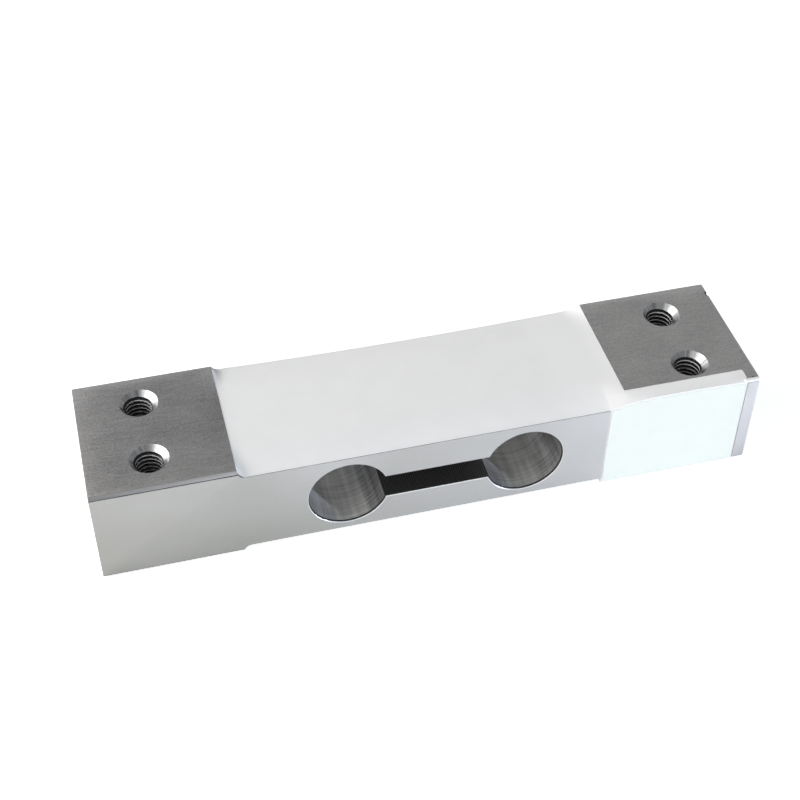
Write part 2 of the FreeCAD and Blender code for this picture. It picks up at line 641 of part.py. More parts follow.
left_meniscus = meniscus("left_meniscus", "-", "Sizes.left_meniscus_length")
right_meniscus = meniscus("right_meniscus", "", "Sizes.right_meniscus_length")
relief_space = new_body("relief_space")
space_outline = sketch_on(relief_space, "space_outline", "XZ_Plane")
draw_outline(space_outline, relief_corners(), relief_ends)
pad(relief_space, "space", space_outline, "Sizes.beam_width", "Symmetric")
pocket_column = new_body("pocket_column")
column_outline = sketch_on(pocket_column, "column_outline", "XY_Plane")
draw_outline(column_outline, pocket_corners(), POCKET_ARCS)
pad(pocket_column, "column", column_outline, "4 * Sizes.beam_height", "Symmetric")


def combine(kind, name, **links):
    """Boolean of the kind named, with its operands."""
    result = doc.addObject(kind, name)
    result.Label = name
    for link, value in links.items():
        setattr(result, link, value)
    return result


poured = combine("Part::MultiFuse", "poured_silicone", Shapes=[layer, left_meniscus, right_meniscus])
in_relief = combine("Part::MultiCommon", "silicone_in_relief", Shapes=[poured, relief_space])
top_fill = combine("Part::Cut", "top_fill", Base=in_relief, Tool=pocket_column)
top_inside = combine("Part::Compound", "top_inside", Links=embedded["top"])
top_potting = combine("Part::Cut", "top_potting", Base=top_fill, Tool=top_inside)

bottom_fill = combine("Part::Mirroring", "bottom_fill", Source=top_fill, Normal=Vector(0, 0, 1))
bottom_fill.setExpression("Base.z", MID_HEIGHT)
bottom_inside = combine("Part::Compound", "bottom_inside", Links=embedded["bottom"])
bottom_potting = combine("Part::Cut", "bottom_potting", Base=bottom_fill, Tool=bottom_inside)

# Silicone in the side pocket, with its rounded rise at the left, and the space behind the cable seal
pocket_fill = new_body("pocket_fill")
fill_bend = bend.format(run="Sizes.pocket_fill_curve", rise="Sizes.pocket_fill_drop")
fill_outline = sketch_on(pocket_fill, "fill_outline", "XZ_Plane", f"-{POCKET_FLOOR}")
draw_outline(
    fill_outline,
    [
        (POCKET_LEFT, "Sizes.pocket_fill_lift"),
        (POCKET_RIGHT, "Sizes.pocket_fill_lift"),
        (POCKET_RIGHT, POTTING_LEVEL),
        (f"{POCKET_LEFT} + Sizes.pocket_fill_curve", POTTING_LEVEL),
        (POCKET_LEFT, f"{POTTING_LEVEL} - Sizes.pocket_fill_drop"),
    ],
    {3: (fill_bend, -1)},
)
pad(pocket_fill, "fill", fill_outline, "Sizes.pocket_depth - Sizes.label_thickness")
pocket_silicone = combine("Part::MultiCommon", "pocket_silicone", Shapes=[pocket_fill, pocket_column])
cable_space = doc.addObject("Part::Cylinder", "cable_space")
cable_space.setExpression("Radius", "Sizes.cable_hole_diameter / 2")
cable_space.setExpression("Height", "Sizes.cable_hole_depth - Sizes.end_wall")
hole_start = f"{HALF_LENGTH} - Sizes.cable_hole_depth"
along_beam = Rotation(Vector(0, 1, 0), 90)
place(cable_space, hole_start, CABLE_LINE, MID_HEIGHT, along_beam)
side_fill = combine("Part::MultiFuse", "side_fill", Shapes=[pocket_silicone, cable_space])
pocket_inside = combine("Part::Compound", "pocket_inside", Links=embedded["pocket"])
side_potting = combine("Part::Cut", "side_potting", Base=side_fill, Tool=pocket_inside)

# Blank label on the pocket's silicone, its upper left corner cut to the silicone's rise
name_label = new_body("name_label")
margin = "Sizes.label_margin"
label_run = f"(Sizes.pocket_fill_curve - {margin})"
label_bend = bend.format(run=label_run, rise="Sizes.pocket_fill_drop")
label_outline = sketch_on(name_label, "label_outline", "XZ_Plane", f"{HALF_WIDTH} - Sizes.label_thickness")
draw_outline(
    label_outline,
    [
        (f"{POCKET_LEFT} + {margin}", f"Sizes.pocket_fill_lift + {margin}"),
        (f"{POCKET_RIGHT} - {margin}", f"Sizes.pocket_fill_lift + {margin}"),
        (f"{POCKET_RIGHT} - {margin}", f"{POTTING_LEVEL} - {margin}"),
        (f"{POCKET_LEFT} + Sizes.pocket_fill_curve", f"{POTTING_LEVEL} - {margin}"),
        (f"{POCKET_LEFT} + {margin}", f"{POTTING_LEVEL} - Sizes.pocket_fill_drop - {margin}"),
    ],
    {3: (label_bend, -1)},
)
pad(name_label, "label_film", label_outline, "Sizes.label_thickness")
nodes += [top_potting, bottom_potting, side_potting, name_label]

doc.recompute()
for item in doc.Objects:
    if "Invalid" in item.State or "Error" in item.State:
        raise RuntimeError(f"{item.Label} failed: {item.State}")
os.makedirs("parts", exist_ok=True)
for node in nodes:
    if node.Shape.isNull() or not node.Shape.isValid():
        raise RuntimeError(f"{node.Label} has no valid shape")
for node in nodes:
    node.Shape.exportStep(f"parts/{node.Label}.step")
    print(node.Label, len(node.Shape.Solids), "solids", round(node.Shape.Volume, 2), "mm3")
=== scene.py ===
import bmesh
import bpy
import json
import math
from mathutils import Matrix, Vector


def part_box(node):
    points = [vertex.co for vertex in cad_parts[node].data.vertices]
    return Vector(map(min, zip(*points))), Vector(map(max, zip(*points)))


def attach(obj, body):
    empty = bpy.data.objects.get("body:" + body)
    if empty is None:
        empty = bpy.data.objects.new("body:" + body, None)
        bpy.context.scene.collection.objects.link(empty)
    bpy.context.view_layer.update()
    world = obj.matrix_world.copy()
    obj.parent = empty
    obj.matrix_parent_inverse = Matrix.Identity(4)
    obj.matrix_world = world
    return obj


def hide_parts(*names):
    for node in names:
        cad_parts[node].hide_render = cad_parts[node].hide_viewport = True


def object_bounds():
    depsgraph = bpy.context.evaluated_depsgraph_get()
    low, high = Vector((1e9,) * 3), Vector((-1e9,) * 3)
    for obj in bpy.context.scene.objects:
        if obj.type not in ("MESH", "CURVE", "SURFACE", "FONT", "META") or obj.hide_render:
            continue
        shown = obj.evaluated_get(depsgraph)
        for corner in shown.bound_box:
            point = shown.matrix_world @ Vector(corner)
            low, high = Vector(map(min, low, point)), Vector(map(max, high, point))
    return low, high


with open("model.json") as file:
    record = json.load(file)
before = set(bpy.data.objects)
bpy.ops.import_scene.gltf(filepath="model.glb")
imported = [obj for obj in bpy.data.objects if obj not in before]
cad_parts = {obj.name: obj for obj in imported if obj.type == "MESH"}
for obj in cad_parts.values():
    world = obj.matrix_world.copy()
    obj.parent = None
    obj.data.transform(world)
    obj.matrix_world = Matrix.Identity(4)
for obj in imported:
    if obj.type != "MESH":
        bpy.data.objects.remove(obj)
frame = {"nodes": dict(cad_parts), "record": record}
cad_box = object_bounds()
MM = 0.001

# Camera: it stands a little left of the labelled front face and looks down on it by 44 degrees, with a
# lens long enough that the beam's long edges run almost parallel. It is tipped by half a degree.
CAMERA_PLACE = Vector((-57.02, -201.77, 221.19)) * MM
CAMERA_AIM = Vector((-1.63, 7.18, 11.0)) * MM
CAMERA_TIP = math.radians(0.509)
CAMERA_LENS = 67.335
CAMERA_SENSOR = 36.0
bpy.ops.object.camera_add(location=CAMERA_PLACE)
camera = bpy.context.object
line_of_sight = (CAMERA_AIM - CAMERA_PLACE).to_track_quat("-Z", "Y").to_matrix()
camera.rotation_euler = (line_of_sight @ Matrix.Rotation(CAMERA_TIP, 3, "Z")).to_euler()
camera.data.lens = CAMERA_LENS
camera.data.sensor_width = CAMERA_SENSOR
camera.data.clip_start = 10 * MM
bpy.context.scene.camera = camera
bpy.context.scene.view_settings.view_transform = "Standard"


# Studio: a white table, four soft lamps and a small hard one at the right that draws the shadow edges in
# the bores. The room is dim high up, so that the ground pads mirror it as a plain mid grey, and bright
# near the horizon, but less so at the right.
def add_node(tree, kind, inputs=None, **settings):
    """New node in a node tree. An input is a number, a colour or another node's output."""
    node = tree.nodes.new(kind)
    for name, value in settings.items():
        setattr(node, name, value)
    for name, value in (inputs or {}).items():
        if isinstance(value, bpy.types.NodeSocket):
            tree.links.new(value, node.inputs[name])
        else:
            node.inputs[name].default_value = value
    return node


ROOM_HIGH = (0.30, 0.31, 0.32, 1.0)
ROOM_LOW = (0.92, 0.93, 0.95, 1.0)
ROOM_LOW_RIGHT = (0.42, 0.43, 0.45, 1.0)
ROOM_LOW_TOP = 0.16
ROOM_HIGH_START = 0.46
ROOM_RIGHT_START = 0.0
ROOM_RIGHT_FULL = 0.75
room = bpy.data.worlds.new("studio_room")
room.use_nodes = True
bpy.context.scene.world = room
room_tree = room.node_tree
direction = add_node(room_tree, "ShaderNodeTexCoord")
side_and_height = add_node(room_tree, "ShaderNodeSeparateXYZ", {"Vector": direction.outputs["Generated"]})
room_side = add_node(
    room_tree,
    "ShaderNodeMapRange",
    {"Value": side_and_height.outputs["X"], "From Min": ROOM_RIGHT_START, "From Max": ROOM_RIGHT_FULL},
    interpolation_type="SMOOTHSTEP",
)
room_low = add_node(
    room_tree,
    "ShaderNodeMix",
    {"Factor": room_side.outputs["Result"], "A": ROOM_LOW, "B": ROOM_LOW_RIGHT},
    data_type="RGBA",
)
room_band = add_node(
    room_tree,
    "ShaderNodeMapRange",
    {"Value": side_and_height.outputs["Z"], "From Min": ROOM_LOW_TOP, "From Max": ROOM_HIGH_START},
    interpolation_type="SMOOTHSTEP",
)
room_colour = add_node(
    room_tree,
    "ShaderNodeMix",
    {"Factor": room_band.outputs["Result"], "A": room_low.outputs["Result"], "B": ROOM_HIGH},
    data_type="RGBA",
)
room_tree.links.new(room_colour.outputs["Result"], room_tree.nodes["Background"].inputs["Color"])

TABLE_SIZE = 4.0
TABLE_COLOUR = (0.82, 0.82, 0.82, 1.0)
TABLE_GLOW = 0.62
bpy.ops.mesh.primitive_plane_add(size=TABLE_SIZE, location=(0, 0, cad_box[0][2] - 0.02 * MM))
table = bpy.context.object
table.name = "table"
paper = bpy.data.materials.new("white_paper")
paper.use_nodes = True
paper_tree = paper.node_tree
paper_shader = paper_tree.nodes["Principled BSDF"]
paper_shader.inputs["Roughness"].default_value = 0.9
paper_shader.inputs["Base Color"].default_value = TABLE_COLOUR
ray = add_node(paper_tree, "ShaderNodeLightPath")
glow_inputs = {0: ray.outputs["Is Camera Ray"], 1: TABLE_GLOW}
glow = add_node(paper_tree, "ShaderNodeMath", glow_inputs, operation="MULTIPLY")
paper_shader.inputs["Emission Color"].default_value = (1, 1, 1, 1)
paper_tree.links.new(glow.outputs["Value"], paper_shader.inputs["Emission Strength"])
table.data.materials.append(paper)

# name, direction from the cell, distance in metres, width and height in metres, watts, colour
LAMPS = [
    ("left_softbox", (-0.88, 0.02, 0.45), 1.1, (1.4, 0.7), 14.5, (1.0, 0.99, 0.975)),
    ("camera_card", (-0.50, -0.53, 0.68), 1.1, (0.4, 0.4), 0.5, (1.0, 1.0, 1.0)),
    ("front_softbox", (0.10, -0.93, 0.28), 1.2, (0.9, 0.35), 2.1, (0.97, 0.99, 1.0)),
    ("back_strip", (-0.72, 0.66, 0.20), 1.0, (0.6, 0.3), 1.2, (1.0, 1.0, 1.0)),
    ("right_lamp", (0.828, -0.560, 0.036), 0.92, (0.03, 0.03), 5.0, (0.74, 0.83, 1.0)),
]
cell_middle = (Vector(cad_box[0]) + Vector(cad_box[1])) / 2
for lamp_name, lamp_side, lamp_distance, lamp_size, lamp_power, lamp_colour in LAMPS:
    lamp_place = cell_middle + Vector(lamp_side).normalized() * lamp_distance
    bpy.ops.object.light_add(type="AREA", location=lamp_place)
    lamp = bpy.context.object
    lamp.name = lamp_name
    lamp.rotation_euler = (cell_middle - lamp_place).to_track_quat("-Z", "Y").to_euler()
    lamp.data.shape = "RECTANGLE"
    lamp.data.size, lamp.data.size_y = lamp_size
    lamp.data.energy = lamp_power
    lamp.data.color = lamp_colour


# Finishes: every material is one shader on the piece's own coordinates, in metres.
def new_finish(name, colour, roughness, metallic=0.0, specular=0.5):
    """Material with its plain values set on the shader itself."""
    material = bpy.data.materials.new(name)
    material.use_nodes = True
    shader = material.node_tree.nodes["Principled BSDF"]
    shader.inputs["Base Color"].default_value = (*colour, 1.0)
    shader.inputs["Roughness"].default_value = roughness
    shader.inputs["Metallic"].default_value = metallic
    shader.inputs["Specular IOR Level"].default_value = specular
    return material


def place_in(tree):
    """Position on the piece, in metres."""
    return add_node(tree, "ShaderNodeTexCoord").outputs["Object"]


def axes_in(tree):
    """Position on the piece, split into X, Y and Z."""
    return add_node(tree, "ShaderNodeSeparateXYZ", {"Vector": place_in(tree)}).outputs


def noise_of(material, grain, stretch=(1, 1, 1), detail=2.0):
    """Noise whose grains are so many millimetres across, longer along an axis by its stretch."""
    tree = material.node_tree
    size = tuple(1 / (grain * MM * length) for length in stretch)
    inputs = {"Vector": place_in(tree), "Scale": size}
    mapping = add_node(tree, "ShaderNodeMapping", inputs)
    inputs = {"Vector": mapping.outputs["Vector"], "Scale": 1.0, "Detail": detail}
    return add_node(tree, "ShaderNodeTexNoise", inputs).outputs["Fac"]


def along_axis(material, axis, low, high):
    """Pattern that goes from 0 to 1 along X, Y or Z."""
    tree = material.node_tree
    inputs = {"Value": axes_in(tree)[axis], "From Min": low, "From Max": high}
    return add_node(tree, "ShaderNodeMapRange", inputs).outputs["Result"]


def patch_at(material, middle, radius):
    """Soft round patch: 1 at its middle, 0 at its radius. Both in millimetres."""
    tree = material.node_tree
    inputs = {0: place_in(tree), 1: Vector(middle) * MM}
    away = add_node(tree, "ShaderNodeVectorMath", inputs, operation="DISTANCE")
    span = {"From Min": 0.0, "From Max": radius * MM, "To Min": 1.0, "To Max": 0.0}
    inputs = {"Value": away.outputs["Value"], **span}
    return add_node(tree, "ShaderNodeMapRange", inputs, interpolation_type="SMOOTHSTEP").outputs["Result"]


def outwards(material, low, high):
    """Pattern that goes from 0 to 1 towards both ends of the beam."""
    tree = material.node_tree
    away = add_node(tree, "ShaderNodeMath", {0: axes_in(tree)["X"]}, operation="ABSOLUTE")
    inputs = {"Value": away.outputs["Value"], "From Min": low, "From Max": high}
    return add_node(tree, "ShaderNodeMapRange", inputs).outputs["Result"]


def across_bore(material, bore_x, low, high):
    """Pattern that goes from 0 to 1 across each of the two bores, from its left to its right wall."""
    tree = material.node_tree
    along = axes_in(tree)["X"]
    side = add_node(tree, "ShaderNodeMath", {0: along}, operation="SIGN")
    inputs = {0: side.outputs["Value"], 1: -bore_x, 2: along}
    from_axis = add_node(tree, "ShaderNodeMath", inputs, operation="MULTIPLY_ADD")
    inputs = {"Value": from_axis.outputs["Value"], "From Min": low, "From Max": high}
    return add_node(tree, "ShaderNodeMapRange", inputs, interpolation_type="SMOOTHSTEP").outputs["Result"]


def streaks_round_holes(material, hole_x, hole_y, count):
    """Noise that changes only with the angle round the nearest of the four hole axes."""
    tree = material.node_tree
    axes = axes_in(tree)
    parts = []
    for axis, hole in (("X", hole_x), ("Y", hole_y)):
        folded = add_node(tree, "ShaderNodeMath", {0: axes[axis]}, operation="ABSOLUTE")
        inputs = {0: folded.outputs["Value"], 1: hole}
        parts.append(add_node(tree, "ShaderNodeMath", inputs, operation="SUBTRACT"))
    inputs = {0: parts[1].outputs["Value"], 1: parts[0].outputs["Value"]}
    angle = add_node(tree, "ShaderNodeMath", inputs, operation="ARCTAN2")
    inputs = {"W": angle.outputs["Value"], "Scale": count / (2 * math.pi), "Detail": 4.0}
    return add_node(tree, "ShaderNodeTexNoise", inputs, noise_dimensions="1D").outputs["Fac"]


def ribs_along_x(material, pitch):
    """Fine even ribs across the beam, at a pitch in millimetres."""
    tree = material.node_tree
    inputs = {"Vector": place_in(tree), "Scale": 2 * math.pi / (20 * pitch * MM), "Distortion": 0.4}
    return add_node(tree, "ShaderNodeTexWave", inputs, bands_direction="X").outputs["Fac"]


def spot_on(material, middle, radius, colour):
    """Small mark of another colour. Middle and radius in millimetres."""
    tree = material.node_tree
    target = tree.nodes["Principled BSDF"].inputs["Base Color"]
    under = target.links[0].from_socket
    inputs = {"Factor": patch_at(material, middle, radius), "A": under, "B": (*colour, 1.0)}
    mix = add_node(tree, "ShaderNodeMix", inputs, data_type="RGBA")
    tree.links.new(mix.outputs["Result"], target)


def sum_of(material, *shares):
    """Weighted sum of several patterns."""
    tree = material.node_tree
    total = 0.0
    for pattern, weight in shares:
        step = add_node(tree, "ShaderNodeMath", {0: pattern, 1: weight, 2: total}, operation="MULTIPLY_ADD")
        total = step.outputs["Value"]
    return total


NOISE_LOW = 0.35
NOISE_HIGH = 0.65


def spread(material, pattern, low, high, start, end):
    """Pattern brought to the range from low to high."""
    tree = material.node_tree
    inputs = {"Value": pattern, "From Min": start, "From Max": end, "To Min": low, "To Max": high}
    return add_node(tree, "ShaderNodeMapRange", inputs).outputs["Result"]


def colour_by(material, pattern, dark, light, start=NOISE_LOW, end=NOISE_HIGH):
    """Base colour between two tones, following a pattern."""
    tree = material.node_tree
    factor = spread(material, pattern, 0.0, 1.0, start, end)
    inputs = {"Factor": factor, "A": (*dark, 1.0), "B": (*light, 1.0)}
    mix = add_node(tree, "ShaderNodeMix", inputs, data_type="RGBA")
    tree.links.new(mix.outputs["Result"], tree.nodes["Principled BSDF"].inputs["Base Color"])


def roughness_by(material, pattern, low, high, start=NOISE_LOW, end=NOISE_HIGH):
    """Roughness between two values, following a pattern."""
    tree = material.node_tree
    target = tree.nodes["Principled BSDF"].inputs["Roughness"]
    tree.links.new(spread(material, pattern, low, high, start, end), target)


def bump_by(material, pattern, depth, strength=1.0):
    """Raised pattern, its depth in millimetres."""
    tree = material.node_tree
    inputs = {"Height": pattern, "Distance": depth * MM, "Strength": strength}
    bump = add_node(tree, "ShaderNodeBump", inputs)
    tree.links.new(bump.outputs["Normal"], tree.nodes["Principled BSDF"].inputs["Normal"])


# Milled sides: the long sides and the end faces of the aluminium block, skimmed with a fine feed. Painted
# light takes the satin from warm and dark at the left to cool and bright at the right, and a little lighter
# towards the top. Soft patches of painted shade and painted highlight lie on the front face.
milled_side = new_finish("milled_side", (0.68, 0.68, 0.68), 0.36, metallic=0.8)
side_cloud = noise_of(milled_side, 14.0, (2.0, 1.0, 1.0), detail=3.0)
side_feed = noise_of(milled_side, 0.14, (26.0, 26.0, 1.0), detail=3.0)
side_grain = noise_of(milled_side, 0.30, detail=2.0)
side_tone = sum_of(milled_side, (side_cloud, 0.4), (side_feed, 0.15), (side_grain, 0.45))
# Painted light and shade: a ramp along the beam, a slight ramp up the side, and soft patches of painted shade
# low at the left and painted highlights near the top and at the right end.
painted_light_along_beam = along_axis(milled_side, "X", cad_box[0][0], cad_box[1][0])
side_painted_shade = patch_at(milled_side, (-36.0, -15.0, 0.0), 26.0)
corner_painted_shade = patch_at(milled_side, (-66.0, -15.0, 0.0), 24.0)
side_painted_highlight = patch_at(milled_side, (-22.0, -15.0, 21.0), 16.0)
side_painted_sheen = patch_at(milled_side, (32.0, -15.0, 21.0), 15.0)
tip_painted_highlight = patch_at(milled_side, (66.0, -15.0, 11.0), 14.0)
painted_light_up_side = along_axis(milled_side, "Z", 0.0, cad_box[1][2])
side_painted_shading = sum_of(milled_side, (painted_light_along_beam, 0.8), (painted_light_up_side, 0.08), (side_painted_shade, -0.22), (corner_painted_shade, -0.12))
side_painted_highlights = sum_of(milled_side, (side_painted_highlight, 0.26), (side_painted_sheen, 0.22), (tip_painted_highlight, 0.6))
side_tone_and_painted_light = sum_of(milled_side, (side_painted_shading, 1.0), (side_painted_highlights, 1.0), (side_tone, 0.7))
colour_by(milled_side, side_tone_and_painted_light, (0.475, 0.475, 0.44), (0.94, 0.945, 0.985), 0.17, 1.61)
roughness_by(milled_side, side_tone, 0.30, 0.40)
bump_by(milled_side, side_feed, 0.004, 0.35)

# Ground pads: the mounting faces, ground along the beam on a surface grinder. Patches of painted shade dim
# them beside the silicone, and a painted highlight brightens the left one near its front edge. Painted light
# makes the right pad and the outer ends a little brighter. Two small dark dots lie on them.
ground_pad = new_finish("ground_pad", (0.56, 0.56, 0.56), 0.38, metallic=1.0)
pad_scratch = noise_of(ground_pad, 0.26, (9.0, 1.0, 1.0), detail=3.0)
pad_grain = noise_of(ground_pad, 0.36, (1.3, 1.0, 1.0), detail=2.0)
pad_cloud = noise_of(ground_pad, 7.0, (1.6, 1.0, 1.0), detail=2.0)
pad_tone = sum_of(ground_pad, (pad_scratch, 0.32), (pad_grain, 0.48), (pad_cloud, 0.20))
# Painted light and shade: the ramps and patches below stand in for how the light falls on the pads.
pad_end = along_axis(ground_pad, "X", -38.0 * MM, 38.0 * MM)
pad_outer = outwards(ground_pad, 38.0 * MM, 65.0 * MM)
pad_painted_shade = patch_at(ground_pad, (-37.0, 2.0, 22.0), 9.0)
far_pad_painted_shade = patch_at(ground_pad, (35.0, 9.0, 22.0), 13.0)
pad_painted_highlight = patch_at(ground_pad, (-44.0, -14.0, 22.0), 14.0)
pad_painted_shading = sum_of(
    ground_pad, (pad_end, 0.15), (pad_outer, 0.04), (pad_painted_shade, -0.16), (pad_painted_highlight, 0.08), (far_pad_painted_shade, -0.14)
)
pad_tone_and_painted_light = sum_of(ground_pad, (pad_painted_shading, 1.0), (pad_tone, 1.0))
colour_by(ground_pad, pad_tone_and_painted_light, (0.35, 0.334, 0.334), (0.77, 0.75, 0.718), 0.31, 0.82)
roughness_by(ground_pad, pad_tone, 0.34, 0.44)
bump_by(ground_pad, sum_of(ground_pad, (pad_scratch, 0.5), (pad_grain, 0.5)), 0.010, 0.6)
spot_on(ground_pad, (63.7, -14.2, 22.0), 0.35, (0.05, 0.05, 0.05))
spot_on(ground_pad, (-38.1, -14.5, 22.0), 0.4, (0.05, 0.05, 0.05))

# Filed chamfer: the long edges, broken by hand along the beam. Painted shade makes it darker near the left
# end.
filed_chamfer = new_finish("filed_chamfer", (0.50, 0.50, 0.51), 0.40, metallic=1.0)
chamfer_scratch = noise_of(filed_chamfer, 0.12, (50.0, 1.0, 1.0), detail=3.0)
# Painted shade: a ramp that darkens the chamfer towards the left end.
chamfer_painted_shade_ramp = along_axis(filed_chamfer, "X", -63.0 * MM, -40.0 * MM)
chamfer_grain_and_painted_shade = sum_of(filed_chamfer, (chamfer_scratch, 0.6), (chamfer_painted_shade_ramp, 0.6))
colour_by(filed_chamfer, chamfer_grain_and_painted_shade, (0.20, 0.20, 0.202), (0.56, 0.56, 0.565), 0.20, 1.10)
roughness_by(filed_chamfer, chamfer_scratch, 0.54, 0.66)
bump_by(filed_chamfer, chamfer_scratch, 0.01, 0.5)

# Edge line: the corner where a chamfer meets the side face, coloured dark.
edge_line = new_finish("edge_line", (0.16, 0.16, 0.17), 0.6, metallic=0.5)
colour_by(edge_line, noise_of(edge_line, 0.5, (10.0, 1.0, 1.0)), (0.04, 0.04, 0.045), (0.14, 0.14, 0.15))

# Bored wall: the two big bores, cut by a boring bar that leaves fine rings round the wall. Painted shade
# makes each wall darker towards its right side, and at the left just inside its mouth.
BORE_X = 17.5 * MM
bored_wall = new_finish("bored_wall", (0.48, 0.48, 0.47), 0.40, metallic=0.4)
bore_ring = noise_of(bored_wall, 0.18, (40.0, 1.0, 40.0), detail=4.0)
bore_streak = noise_of(bored_wall, 1.1, (1.0, 14.0, 1.0), detail=3.0)
bore_tone = sum_of(bored_wall, (bore_ring, 0.6), (bore_streak, 0.4))
# Painted shade: each bore's right wall, and its left wall just inside the mouth.
bore_right_painted_shade = across_bore(bored_wall, BORE_X, 1.0 * MM, 6.5 * MM)
left_mouth_painted_shade = patch_at(bored_wall, (-25.5, -13.5, 9.0), 9.0)
right_mouth_painted_shade = patch_at(bored_wall, (9.5, -13.5, 8.0), 11.0)
bore_tone_and_painted_shade = sum_of(
    bored_wall, (bore_tone, 1.0), (bore_right_painted_shade, -0.30), (left_mouth_painted_shade, -0.26), (right_mouth_painted_shade, -0.36)
)
colour_by(bored_wall, bore_tone_and_painted_shade, (0.10, 0.098, 0.104), (0.82, 0.812, 0.78), 0.08, 0.70)
roughness_by(bored_wall, bore_tone, 0.34, 0.50)
bump_by(bored_wall, bore_ring, 0.012, 0.5)

# Slot wall: cut by a wire, with fine ribs across the beam.
slot_wall = new_finish("slot_wall", (0.24, 0.24, 0.24), 0.5, metallic=1.0)
slot_rib = ribs_along_x(slot_wall, 0.45)
slot_grain = noise_of(slot_wall, 0.2, detail=2.0)
slot_tone = sum_of(slot_wall, (slot_rib, 0.3), (slot_grain, 0.7))
colour_by(slot_wall, slot_tone, (0.09, 0.09, 0.088), (0.22, 0.22, 0.215))
bump_by(slot_wall, slot_rib, 0.02, 0.5)

# Dark lip: a near-black ring at the inner edge of a bore's mouth, and the nick in the right pad's far corner.
dark_lip = new_finish("dark_lip", (0.03, 0.03, 0.032), 0.6, specular=0.2)
colour_by(dark_lip, noise_of(dark_lip, 0.4), (0.02, 0.02, 0.022), (0.05, 0.05, 0.052))

# Edge burr: the thin break round the mouths of the bores and the slot, and at the right pad's end, painted
# near white as a highlight.
edge_painted_highlight = new_finish("edge_painted_highlight", (0.93, 0.93, 0.93), 0.45, metallic=0.5)
edge_grain = noise_of(edge_painted_highlight, 0.3, detail=2.0)
colour_by(edge_painted_highlight, edge_grain, (0.88, 0.88, 0.88), (0.97, 0.97, 0.97))

# Countersink: a cone left by a countersink that chattered a little, with streaks down its slope.
HOLE_X = 53.0 * MM
HOLE_Y = 7.5 * MM
countersink_cut = new_finish("countersink_cut", (0.5, 0.5, 0.5), 0.22, metallic=1.0)
sink_streak = streaks_round_holes(countersink_cut, HOLE_X, HOLE_Y, 22)
sink_grain = noise_of(countersink_cut, 0.25, (1.0, 1.0, 0.4), detail=3.0)
sink_tone = sum_of(countersink_cut, (sink_streak, 0.7), (sink_grain, 0.3))
colour_by(countersink_cut, sink_tone, (0.28, 0.28, 0.28), (0.60, 0.60, 0.60))
roughness_by(countersink_cut, sink_tone, 0.24, 0.38)
bump_by(countersink_cut, sink_streak, 0.03, 0.3)

# Thread flanks and roots: cut by a tap, and painted near black as the shade deep in the hole.
thread_painted_shade = new_finish("thread_painted_shade", (0.24, 0.24, 0.24), 0.3, metallic=1.0)
thread_grain = noise_of(thread_painted_shade, 0.12, detail=3.0)
colour_by(thread_painted_shade, thread_grain, (0.015, 0.015, 0.015), (0.07, 0.07, 0.07))
roughness_by(thread_painted_shade, thread_grain, 0.22, 0.40)

# Thread crests: the narrow land of the drilled core, painted near white as a highlight.
crest_painted_highlight = new_finish("crest_painted_highlight", (0.90, 0.90, 0.90), 0.40, metallic=0.15)
crest_grain = noise_of(crest_painted_highlight, 0.12, detail=3.0)
colour_by(crest_painted_highlight, crest_grain, (0.84, 0.84, 0.84), (0.96, 0.96, 0.96))

# Relief floor: end-milled, almost wholly under the silicone. The side pocket has the same finish.
milled_floor = new_finish("milled_floor", (0.30, 0.30, 0.30), 0.4, metallic=1.0)
floor_feed = noise_of(milled_floor, 0.3, (1.0, 20.0, 1.0), detail=2.0)
colour_by(milled_floor, floor_feed, (0.24, 0.24, 0.24), (0.36, 0.36, 0.36))
bump_by(milled_floor, floor_feed, 0.01, 0.4)


# Beam: one block of aluminium. It is milled to size and deburred on its outer edges, and then relieved,
# slotted, bored, pocketed, drilled for the cable, countersunk and tapped, in that order.
def fresh_start():
    """Object mode, with nothing selected."""
    if bpy.context.mode != "OBJECT":
        bpy.ops.object.mode_set(mode="OBJECT")
    bpy.ops.object.select_all(action="DESELECT")


def settle(name, material=None):
    """Name the new primitive, put its place and turn into its mesh and give it a finish."""
    piece = bpy.context.object
    piece.name = name
    piece.data.name = name
    bpy.ops.object.transform_apply(location=True, rotation=True, scale=True)
    if material:
        piece.data.materials.append(material)
    return piece


def add_block(name, low, high, material=None):
    """Block between two corners."""
    fresh_start()
    low = Vector(low)
    high = Vector(high)
    bpy.ops.mesh.primitive_cube_add(size=1, location=(low + high) / 2, scale=high - low)
    return settle(name, material)


def add_round(name, centre, radius, length, along, material=None, sides=128):
    """Round bar through a centre, along Y or Z or X."""
    fresh_start()
    turn = {"X": (0, math.pi / 2, 0), "Y": (math.pi / 2, 0, 0), "Z": (0, 0, 0)}[along]
    bpy.ops.mesh.primitive_cylinder_add(
        vertices=sides, radius=radius, depth=length, location=centre, rotation=turn
    )
    return settle(name, material)


def select_parts(piece, kind, test):
    """In edit mode, select the verts, edges or faces whose every corner passes the test."""
    fresh_start()
    bpy.context.view_layer.objects.active = piece
    piece.select_set(True)
    bpy.ops.object.mode_set(mode="EDIT")
    bpy.context.tool_settings.mesh_select_mode = (kind == "verts", kind == "edges", kind == "faces")
    mesh = bmesh.from_edit_mesh(piece.data)
    for part in list(mesh.verts) + list(mesh.edges) + list(mesh.faces):
        part.select = False
    for part in getattr(mesh, kind):
        corners = [part] if kind == "verts" else part.verts
        part.select_set(all(test(corner.co) for corner in corners))
    mesh.select_flush_mode()
    bmesh.update_edit_mesh(piece.data)


def keep_edges(piece, test):
    """In edit mode, drop the selected edges whose two ends fail the test."""
    mesh = bmesh.from_edit_mesh(piece.data)
    for edge in mesh.edges:
        first, second = (corner.co for corner in edge.verts)
        edge.select_set(edge.select and test(first, second))
    bmesh.update_edit_mesh(piece.data)


